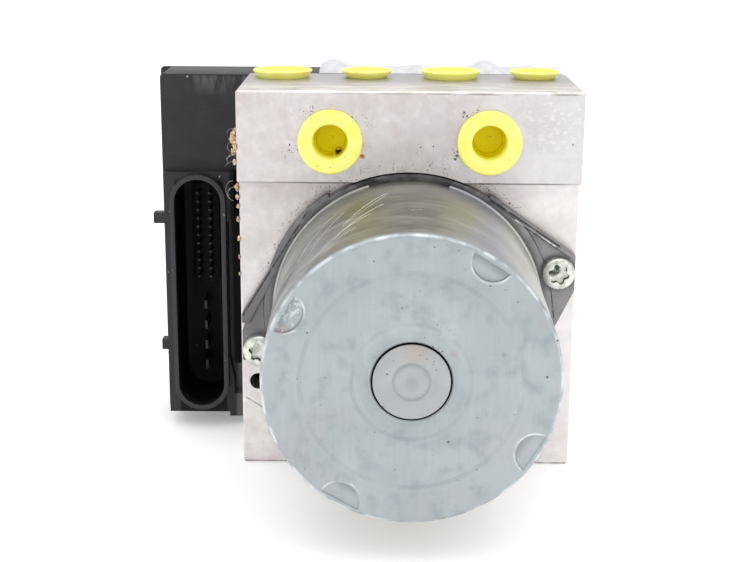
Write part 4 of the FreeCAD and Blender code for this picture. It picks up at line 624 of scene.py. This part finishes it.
# %% [markdown]
# Stacked laminations and a winding repeat along the shaft, so a wave stands for them: sheets of
# 0.5 mm, and turns of 0.6 mm wire under enamel. A wave texture repeats every 0.314 units at
# scale 1. The board's copper tracks show through its lacquer on a grid, as mortar does between
# bricks.

# %% Laminations, copper and board
WAVE = 0.314
SHEET, WIRE, BOARD_CELL = 0.5 * MM, 0.6 * MM, 10 * MM
stack = Finish("stacked_lamination_steel", "#5e6064")
sheets = stack.add("TexWave", {"Vector": stack.place, "Scale": WAVE / SHEET, "Distortion": 0.2},
                   bands_direction="Y").outputs[1]
stack.paint(sheets, "#8d8f93")
stack.paint(stack.patches(5, 0.5, 0.7), "#4d4a49", 0.4)
lamination_steel = stack.close({"Metallic": 0.9, "Roughness": 0.42}, sheets, 0.05)

coil = Finish("enamelled_copper_wire", "#8a3f1c")
turns = coil.add("TexWave", {"Vector": coil.place, "Scale": WAVE / WIRE, "Distortion": 1.5},
                 bands_direction="Y", wave_profile="SIN").outputs[1]
coil.paint(turns, "#d0793f")
copper_wire = coil.close({"Metallic": 0.95, "Roughness": 0.3}, turns, 0.12)

board = Finish("green_board_lacquer", "#1d5a34")
upright = board.add("Mapping", {"Vector": board.place, "Rotation": (math.pi / 2, 0, 0)})
tracks = board.add("TexBrick", {
    "Vector": upright.outputs[0], "Scale": 1 / BOARD_CELL, "Mortar Size": 0.04,
    "Color1": (0, 0, 0, 1), "Color2": (0, 0, 0, 1), "Mortar": (1, 1, 1, 1)}).outputs[1]
board.paint(tracks, "#2c7a48")
board.paint(board.patches(8, 0.4, 0.7), "#174a2b", 0.4)
board_lacquer = board.close({"Roughness": 0.25, "Coat Weight": 0.4}, tracks, 0.03)

# %% [markdown]
# ## Dress every solid
# The record names a finish slot for each solid. A table turns the slot to one of the materials
# above, so no solid is left plain, also where a finer piece will stand in for it later.

# %% Assign finishes to the solids
FINISHES = {
    "block_aluminium": bare_aluminium, "can_steel": zinc_plate, "flange_casting": cast_metal,
    "screw_zinc": zinc_screw, "port_plug_yellow": yellow_pe, "housing_black": black_pbt,
    "ground_steel": ground_steel, "lamination_steel": lamination_steel,
    "copper_wire": copper_wire, "magnet_ferrite": ferrite, "carbon_brush": carbon,
    "holder_plastic": holder_plastic, "pin_tin": tin_plate, "board_green": board_lacquer,
    "seal_rubber": seal_rubber, "bronze_bush": bronze,
}
for part in frame["record"]["subparts"]:
    for slot in frame["nodes"][part["node"]].material_slots:
        slot.material = FINISHES[part["material_slot"]]

# %% [markdown]
# ## Tools for shapes
# An edit-mode operator acts on all that is selected, so each step starts by making one piece
# the only thing selected. The finished mesh is then laid on its axis, and its place is left in
# the mesh, so that its object stays at the origin.

# %% Select and place
MOTOR = (0, 0, AXIS_Z)
FORWARD = Matrix.Rotation(math.pi / 2, 4, "X")    # turns Z to the front, -Y
BACKWARD = Matrix.Rotation(-math.pi / 2, 4, "X")  # turns Z to the back, +Y
UPWARD = Matrix.Identity(4)


def only(piece=None):
    """Make a piece the only thing selected, in object mode."""
    if bpy.context.object and bpy.context.object.mode != "OBJECT":
        bpy.ops.object.mode_set(mode="OBJECT")
    bpy.ops.object.select_all(action="DESELECT")
    if piece is not None:
        piece.select_set(True)
        bpy.context.view_layer.objects.active = piece
    return piece


def started(operator, name, **sizes):
    """A new primitive at the origin, as the only thing selected."""
    only()
    operator(location=(0, 0, 0), **sizes)
    bpy.context.object.name = name
    return bpy.context.object


def edit_all():
    """Go to edit mode with all of the active piece selected."""
    bpy.ops.object.mode_set(mode="EDIT")
    bpy.ops.mesh.select_all(action="SELECT")


def pick_corners(piece, wanted):
    """Go to edit mode with the vertices selected whose number passes a test."""
    only(piece)
    bpy.ops.object.mode_set(mode="EDIT")
    bpy.ops.mesh.select_mode(type="VERT")
    bpy.ops.mesh.select_all(action="DESELECT")
    bpy.ops.object.mode_set(mode="OBJECT")
    for number, corner in enumerate(piece.data.vertices):
        corner.select = wanted(number)
    bpy.ops.object.mode_set(mode="EDIT")


def settle(piece, at, direction):
    """Leave edit mode with all faces outwards, and the piece laid on its axis in its mesh."""
    bpy.ops.mesh.select_all(action="SELECT")
    bpy.ops.mesh.normals_make_consistent(inside=False)
    only(piece)
    piece.data.transform(Matrix.Translation(Vector(at) * MM) @ direction)
    piece.data.update()
    return piece


# %% [markdown]
# Round pieces are turned the way a lathe would: a circle is drawn, then its edge is extruded and
# resized again and again along a half section. The section runs along Z at first. A copy of a
# solid is welded first, because its mesh is loose triangles.

# %% Turn, copy and join
def turned(name, section, at, direction, sides=96, closed=True):
    """Turn a piece from a half section: pairs of radius and place along the axis, in mm."""
    radius, start = section[0]
    piece = started(bpy.ops.mesh.primitive_circle_add, name, vertices=sides, radius=radius * MM)
    edit_all()
    bpy.ops.transform.translate(value=(0, 0, start * MM))
    for next_radius, along in section[1:]:
        bpy.ops.mesh.extrude_region_move(
            TRANSFORM_OT_translate={"value": (0, 0, (along - start) * MM)})
        grow = next_radius / radius
        bpy.ops.transform.resize(value=(grow, grow, 1))
        radius, start = next_radius, along
    bpy.ops.mesh.select_all(action="SELECT")
    bpy.ops.mesh.remove_doubles(threshold=0.001 * MM)
    if closed:
        bpy.ops.mesh.fill_holes(sides=0)
    return settle(piece, at, direction)


def arc(radius, centre_radius, centre_along, first, last, steps):
    """Points of a rounded corner of a half section, from one angle to another in degrees."""
    turns = [math.radians(first + (last - first) * step / steps) for step in range(steps + 1)]
    return [(centre_radius + radius * math.cos(turn), centre_along + radius * math.sin(turn))
            for turn in turns]


def welded(name, node):
    """A copy of a solid as one welded mesh, its flat faces made whole again."""
    piece = bpy.data.objects.new(name, frame["nodes"][node].data.copy())
    bpy.context.scene.collection.objects.link(piece)
    only(piece)
    bpy.ops.mesh.customdata_custom_splitnormals_clear()
    edit_all()
    bpy.ops.mesh.remove_doubles(threshold=0.002 * MM)
    bpy.ops.mesh.dissolve_limited(angle_limit=math.radians(1.0))
    bpy.ops.object.mode_set(mode="OBJECT")
    return piece


def join(name, pieces):
    """Several meshes as one piece."""
    only(pieces[0])
    for piece in pieces:
        piece.select_set(True)
    bpy.ops.object.join()
    bpy.context.object.name = name
    return bpy.context.object


# %% [markdown]
# Hard corners get a bevel, because no real edge is sharp and the thin highlight along it is
# what makes metal look solid. Modifiers do that, and cut one shape out of another, and they are
# applied at once. A finished piece tells the frame what it rides on and what it stands for.

# %% Modify and hand over
def apply(piece, kind, **options):
    """Add a modifier with its options and apply it."""
    only(piece)
    modifier = piece.modifiers.new(kind.lower(), kind)
    for name, value in options.items():
        setattr(modifier, name, value)
    bpy.ops.object.modifier_apply(modifier=modifier.name)
    return piece


def soften(piece, width, segments=2, angle=30):
    """Round every edge that is sharper than an angle."""
    return apply(piece, "BEVEL", width=width * MM, segments=segments, limit_method="ANGLE",
                 angle_limit=math.radians(angle), use_clamp_overlap=True)


def carve(piece, tool):
    """Cut a tool out of a piece and throw the tool away."""
    apply(piece, "BOOLEAN", object=tool, operation="DIFFERENCE", solver="EXACT")
    bpy.data.objects.remove(tool)
    return piece


def hand_over(piece, finish, slot=None, *stands_for, smooth=35):
    """Shade a finished piece, give it its finish and tell the frame what it rides on."""
    only(piece)
    piece.data.materials.clear()
    piece.data.materials.append(finish)
    bpy.ops.object.shade_smooth_by_angle(angle=math.radians(smooth))
    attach(piece, BODY)
    if stands_for:
        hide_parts(*stands_for)
    print(piece.name, len(piece.data.polygons), "faces")


# %% [markdown]
# ## The motor's can
# The can is one deep drawn shell: a wall that tapers slightly, a generous rounded corner, and a
# flat end with two shallow steps pressed in and an open ring round the bearing cap. The section
# runs out along the wall, over the corner, in to the ring and back inside, and closes on itself.

# %% Turn the can
section = [(35.0, 21.0), (37.8, 21.0), (37.75, 30.0)]
section += arc(1.1, 35.9, 84.85, 0, 90, 6)
section += [(34.2, 85.95), (28.0, 85.8), (27.4, 85.85), (26.9, 85.93), (15.2, 85.95),
            (14.7, 85.88), (14.2, 85.75), (11.4, 85.7), (10.3, 85.6), (9.98, 85.3),
            (OPENING_RADIUS, 84.9), (OPENING_RADIUS, 83.6), (9.75, 83.6), (9.75, 82.6),
            (35.0, 82.6), (35.0, 21.0)]
can = turned("motor_shell", section, MOTOR, FORWARD, sides=160, closed=False)
print("can:", len(section), "points in its section")

# %% [markdown]
# Each stake mark was struck by a punch with a half-round edge: deep along the arc and shallow
# towards the rim. A tilted, cut cylinder has that shape, so it is cut from the end four times.

# %% Strike the stake marks
PUNCH_TILT, PUNCH_ALONG = -8.2, 87.66  # degrees, and the place of the punch's middle in mm
for degrees in STAKES:
    punch = started(bpy.ops.mesh.primitive_cylinder_add, "punch", vertices=64,
                    radius=STAKE_RADIUS * MM, depth=4 * MM)
    edit_all()
    bpy.ops.mesh.bisect(plane_co=(-0.5 * MM, 0, 0), plane_no=(1, 0, 0), use_fill=True,
                        clear_outer=True)
    out = Matrix.Translation((STAKE_OUT * MM, 0, PUNCH_ALONG * MM))
    settle(punch, MOTOR, FORWARD @ Matrix.Rotation(math.radians(degrees), 4, "Z") @ out
           @ Matrix.Rotation(math.radians(PUNCH_TILT), 4, "Y"))
    carve(can, punch)
soften(can, 0.14, angle=50)
hand_over(can, zinc_plate, "can_steel", "motor_can")

# %% Bearing cap
section = [(CAP_RADIUS, 77.0), (CAP_RADIUS, 85.3), (9.5, 85.55), (9.25, 85.65), (5.1, 85.7),
           (4.85, 85.62), (4.65, 85.52), (4.45, 85.62), (4.2, 85.7), (2.0, 85.7), (1.5, 85.6),
           (0.9, 85.55), (0.3, 85.6)]
cap = turned("end_cap", section, MOTOR, FORWARD)
hand_over(cap, zinc_plate, "can_steel", "bearing_cap")


# %% [markdown]
# At its foot the can is held by a rolled bead. It runs all round except for a gap at the top,
# where the can's own edge shows. Its round profile is drawn as a flat face and spun along the
# can. The same face, extruded straight, will give the ridges on the flange.

# %% Sweep and extrude
def polygon(name, corners):
    """A flat face in the ground plane with the given corners in mm, made from a circle's."""
    piece = started(bpy.ops.mesh.primitive_circle_add, name, vertices=len(corners), radius=MM,
                    fill_type="NGON")
    for number, corner in enumerate(corners):
        pick_corners(piece, lambda candidate: candidate == number)
        move = Vector((*corner, 0)) * MM - piece.data.vertices[number].co
        bpy.ops.transform.translate(value=move)
        bpy.ops.object.mode_set(mode="OBJECT")
    return piece


def swept(name, profile, first, last, steps):
    """Spin a profile of radius and place along the axis round the motor between two angles."""
    piece = polygon(name, profile)
    piece.data.transform(Matrix.Rotation(math.radians(first), 4, "Z")
                         @ Matrix.Rotation(math.pi / 2, 4, "X"))
    edit_all()
    bpy.ops.mesh.spin(steps=steps, angle=math.radians(first - last), center=(0, 0, 0),
                      axis=(0, 0, 1))
    return settle(piece, MOTOR, FORWARD)


def prism(name, corners, back, front):
    """A plate with corners given by X and Z, between two places along the motor's axis."""
    piece = polygon(name, corners)
    edit_all()
    bpy.ops.mesh.extrude_region_move(
        TRANSFORM_OT_translate={"value": (0, 0, (front - back) * MM)})
    return settle(piece, (0, -back, 0), FORWARD)


bead = swept("rolled_bead", arc(0.62, 37.95, 24.0, 0, 330, 11), 107, 433, 150)
hand_over(soften(bead, 0.2, angle=50), zinc_plate, "can_steel", smooth=60)

# %% [markdown]
# ## The flange and its screws
# The flange keeps the solid's form, but its edges are softened by a bevel, as a casting's are.
# The ring of the casting stands a little above its ears, out to 41.2 mm from the motor's axis,
# and a thin ridge runs along the upper edge of each ear.

# %% Flange
flange = soften(welded("cast_flange", "motor_flange"), 0.35, segments=3, angle=40)
hand_over(flange, cast_metal, "flange_casting", "motor_flange")
STEP_PROFILE = [(38.3, 20.5), (41.0, 20.5), (41.2, 22.7), (40.9, 23.1), (38.3, 23.3)]
for name, first, last in (("right", -24, 56), ("left", 124, 188)):
    step = swept("ring_step_" + name, STEP_PROFILE, first, last, 40)
    hand_over(soften(step, 0.15, angle=40), cast_metal, "flange_casting", smooth=40)
RIDGES = [  # side, corners given by X and Z, place of the front along the axis, rounding
    ("right", [(22.2, 80.6), (23.0, 81.8), (46.7, 65.0), (46.0, 63.9)], 23.4, 0.35),
    ("left", [(-27.2, 77.6), (-28.4, 77.9), (-47.3, 47.0), (-47.3, 44.6), (-45.4, 44.2)],
     23.24, 0.1),
]
for name, corners, front, rounding in RIDGES:
    ridge = prism("ear_ridge_" + name, corners, 18.2, front)
    hand_over(soften(ridge, rounding, segments=3, angle=40), cast_metal, "flange_casting")


# %% [markdown]
# Each screw is a pan head: a turned button with a domed top, and a recess with six lobes. The
# lobes come from a circle of 36 corners, some of which are drawn in to form six waists.

# %% Motor screws
def lobed_recess(radius, depth, at, direction):
    """A six-lobed prism to cut from a screw's head, drawn in at its waists."""
    tool = started(bpy.ops.mesh.primitive_circle_add, "recess", vertices=36, radius=radius * MM,
                   fill_type="NGON")
    for waist, steps in ((0.94, (1, 5)), (0.80, (2, 4)), (0.72, (3,))):
        pick_corners(tool, lambda number: number % 6 in steps)
        bpy.ops.transform.resize(value=(waist, waist, 1))
    bpy.ops.mesh.select_all(action="SELECT")
    bpy.ops.mesh.extrude_region_move(TRANSFORM_OT_translate={"value": (0, 0, depth * MM)})
    return settle(tool, at, direction)


heads = []
section = [(2.5, 7.0), (2.5, 22.2), (4.65, 22.2), *arc(1.2, 3.45, 24.0, 0, 70, 5), (3.0, 25.33),
           (1.5, -HEAD_FRONT)]
for x, z in SCREWS:
    head = turned("motor_screw", section, (x, 0, z), FORWARD, sides=64)
    recess = lobed_recess(3.05, 3.0, (x, RECESS_FLOOR, z),
                          FORWARD @ Matrix.Rotation(0.3, 4, "Z"))
    heads.append(soften(carve(head, recess), 0.12, angle=40))
hand_over(join("motor_screw_pair", heads), zinc_screw, "screw_zinc", "motor_screws")

# %% [markdown]
# ## The plugs
# The two plugs in front have a deep blind hole that a puller can grip; the four on top have a
# shallow cup and a head that widens upwards. A small pip in the floor is where the plastic
# entered the mould.

# %% Front plugs
PLUG_X, PLUG_Z = 22.0, 97.0
section = [(5.5, 11.5), (5.5, 24.0), (8.75, 24.0), (8.95, 24.15), *arc(0.55, 8.4, 25.05, 0, 90, 4),
           (5.35, 25.6), (5.05, 25.5), (4.85, 25.2), (4.65, 17.4), (4.3, 17.0), (4.1, 16.7),
           (3.95, 16.9), (0.55, 16.9), (0.5, 17.15), (0.25, 17.25)]
for side, name in ((-1, "left"), (1, "right")):
    plug = turned("port_stopper_" + name, section, (side * PLUG_X, 0, PLUG_Z), FORWARD)
    hand_over(plug, yellow_pe, "port_plug_yellow", "front_plug_" + name)

# %% Top plugs
FIRST_PORT_X, PORT_PITCH, PORT_Y = -37.2, 24.8, 9.3
for count in range(4):
    head, foot, stem = ((8.75, 7.4, 5.5), (7.5, 5.6, 4.5))[count % 2]  # large and small in turn
    section = [(stem, 102.0), (stem, BLOCK_TOP), (foot, BLOCK_TOP),
               *arc(0.4, head - 0.4, 112.9, -30, 90, 5), (head - 1.3, 113.3),
               (head - 1.6, 113.15), (head - 1.85, 112.2), (head - 2.3, 112.1), (1.2, 112.1),
               (1.0, 112.3), (0.5, 112.35)]
    number = str(count + 1)
    plug = turned("top_stopper_" + number, section,
                  (FIRST_PORT_X + PORT_PITCH * count, PORT_Y, 0), UPWARD)
    hand_over(plug, yellow_pe, "port_plug_yellow", "top_plug_" + number)

# %% [markdown]
# ## The controller
# The housing and its lid keep the solids' forms with softened edges, since moulded plastic is
# never sharp. Four long screws hold the controller to the block; their heads show at the back.

# %% Housing, lid and long screws
housing = soften(welded("moulded_housing", "controller_housing"), 0.35, angle=50)
hand_over(housing, black_pbt, "housing_black", "controller_housing")
lid = soften(welded("moulded_lid", "controller_cover"), 0.4, segments=3, angle=50)
hand_over(lid, black_pbt, "housing_black", "controller_cover")
LONG_SCREWS = [(-44.0, 8.0), (44.0, 8.0), (-24.8, 104.0), (24.8, 104.0)]  # X and Z
section = [(2.0, 9.0), (2.0, 40.0), (3.6, 40.0), *arc(0.7, 2.9, 41.5, 0, 90, 4), (1.0, 42.2)]
heads = []
for x, z in LONG_SCREWS:
    head = turned("long_screw", section, (x, 0, z), BACKWARD, sides=48)
    recess = lobed_recess(2.2, 2.0, (x, 40.9, z), BACKWARD)
    heads.append(soften(carve(head, recess), 0.06, segments=1, angle=40))
hand_over(join("long_screw_set", heads), zinc_screw, "screw_zinc", "controller_screws")

# %% [markdown]
# ## Label, dirt and lint
# The label is a grid of thin columns. Columns near a fold are lifted to the shape of a wave,
# while the front row stays down, and then the sheet is given the thickness of film.

# %% Label
LABEL_MIDDLE, LABEL_SIZE, FILM = (10.2, 29.2, 110.9), (74, 20.8), 0.12
FOLDS = [  # place along X, half width and height
    (-23.0, 6.5, 2.1), (24.4, 6.0, 2.2), (3.0, 5.0, 0.5), (38.0, 4.0, 0.4),
]
CELLS = 72
COLUMNS = CELLS + 1
label = started(bpy.ops.mesh.primitive_grid_add, "blank_label", x_subdivisions=CELLS,
                y_subdivisions=12, size=1)
label.data.transform(Matrix.Translation(Vector(LABEL_MIDDLE) * MM)
                     @ Matrix.Diagonal((LABEL_SIZE[0] * MM, LABEL_SIZE[1] * MM, 1, 1)))
across = [label.data.vertices[column].co.x / MM for column in range(COLUMNS)]
lifts = [sum(height * math.cos((x - at) / reach * math.pi / 2) ** 2
             for at, reach, height in FOLDS if abs(x - at) < reach) for x in across]
for column, lift in enumerate(lifts):
    if lift > 0:
        pick_corners(label, lambda number: number % COLUMNS == column and number >= COLUMNS)
        bpy.ops.transform.translate(value=(0, 0, lift * MM))
        bpy.ops.object.mode_set(mode="OBJECT")
print("label lifted in", sum(lift > 0 for lift in lifts), "of", COLUMNS, "columns")
apply(label, "SOLIDIFY", thickness=FILM * MM, offset=1.0)
hand_over(label, label_film)

# %% [markdown]
# Dirt is made of small spheres that a cloud texture has pulled out of shape.

# %% Dirt
LUMPS = [  # X, Y, Z and size
    (-48.9, -21.5, 97.5, 1.6), (-48.4, -22.8, 95.3, 1.2), (-49.3, -20.0, 93.4, 0.9),
    (-48.5, -22.6, 99.6, 0.8), (-48.5, -22.9, 91.0, 0.7), (-48.6, -16.5, 82.6, 1.1),
    (-48.5, -17.2, 80.0, 0.8), (-48.4, -17.4, 77.3, 0.6), (-48.5, -17.0, 73.5, 0.7),
    (-48.3, -17.5, 68.0, 0.6), (-48.3, -17.3, 62.5, 0.5), (-48.3, -17.5, 57.5, 0.4),
]
crumble = bpy.data.textures.new("crumble", "CLOUDS")
crumble.noise_scale = 0.9 * MM
lumps = []
for *at, size in LUMPS:
    lump = started(bpy.ops.mesh.primitive_ico_sphere_add, "lump", subdivisions=4,
                   radius=size * MM)
    lump.data.transform(Matrix.Translation(Vector(at) * MM) @ Matrix.Diagonal((0.6, 1, 1.1, 1)))
    lumps.append(apply(lump, "DISPLACE", texture=crumble, strength=1.1 * size * MM,
                       texture_coords="LOCAL"))
hand_over(join("dirt_lumps", lumps), dry_dirt, smooth=60)

# %% [markdown]
# Each fibre of lint is a part of a thin ring, caught on the block's left edge and turned at
# random. The upper ones hang on the band, the lower ones on the face below it.

# %% Lint
HEIGHTS = (96, 94, 93, 92, 91, 90, 82, 69)
EDGE_X, FIBRE_ON_BAND_Y, FIBRE_BELOW_Y = -49.3, -21.0, -16.5
random.seed(5)
fibres = []
for number in range(9):
    fibre = started(bpy.ops.mesh.primitive_torus_add, "fibre", major_segments=40,
                    minor_segments=6, major_radius=random.uniform(1.2, 3.4) * MM,
                    minor_radius=0.04 * MM)
    edit_all()
    bpy.ops.mesh.bisect(plane_co=(-random.uniform(0.5, 1.1) * MM, 0, 0), plane_no=(1, 0, 0),
                        use_fill=True, clear_outer=True)
    bpy.ops.object.mode_set(mode="OBJECT")
    height = random.choice(HEIGHTS)
    depth = FIBRE_ON_BAND_Y if height > BAND_FOOT else FIBRE_BELOW_Y
    spot = Vector((EDGE_X, depth, height + random.uniform(-2, 2))) * MM
    lean = Euler([random.uniform(-0.6, 0.6) + math.pi / 2, random.uniform(0, 6.28),
                  random.uniform(-0.5, 0.5)])
    fibre.data.transform(Matrix.Translation(spot) @ lean.to_matrix().to_4x4())
    fibres.append(fibre)
hand_over(join("lint_fibres", fibres), grey_lint, smooth=60)

# %% [markdown]
# ## Floor and light
# The object stands on a plain pale floor that glows faintly, so it stays as white as the sheet
# it was photographed on. Around it is soft studio light: one big overhead panel, a panel on
# each side of the camera, and an even white surround that the metal can reflect.

# %% Floor
floor = started(bpy.ops.mesh.primitive_plane_add, "floor", size=6)
pale = Finish("pale_studio_floor", "#fdfdfc")
pale.paint(pale.patches(300, 0.4, 0.6), "#fbfbfb")
floor.data.materials.append(pale.close({
    "Roughness": 0.6, "Emission Color": pale.colour, "Emission Strength": 0.25}))

# %% Light
world = bpy.data.worlds.new("studio")
bpy.context.scene.world = world
world.use_nodes = True
background = world.node_tree.nodes["Background"]
background.inputs["Color"].default_value = (1, 1, 1, 1)
background.inputs["Strength"].default_value = 0.97
LAMPS = [  # name, place in mm, aim in mm, side in mm, watts
    ("overhead", (0, -150, 900), (0, 0, 60), 900, 2.5),
    ("left_panel", (-700, -700, 450), (0, 0, 50), 500, 0.7),
    ("right_panel", (700, -650, 450), (0, 0, 50), 500, 1.0),
]
for name, at, aim, width, watts in LAMPS:
    lamp = bpy.data.objects.new(name, bpy.data.lights.new(name, "AREA"))
    bpy.context.scene.collection.objects.link(lamp)
    lamp.data.size = width * MM
    lamp.data.energy = watts
    lamp.location = Vector(at) * MM
    lamp.rotation_euler = (Vector(aim) - Vector(at)).to_track_quat("-Z", "Y").to_euler()
bpy.context.scene.view_settings.view_transform = "Standard"
print("lamps:", [lamp[0] for lamp in LAMPS])
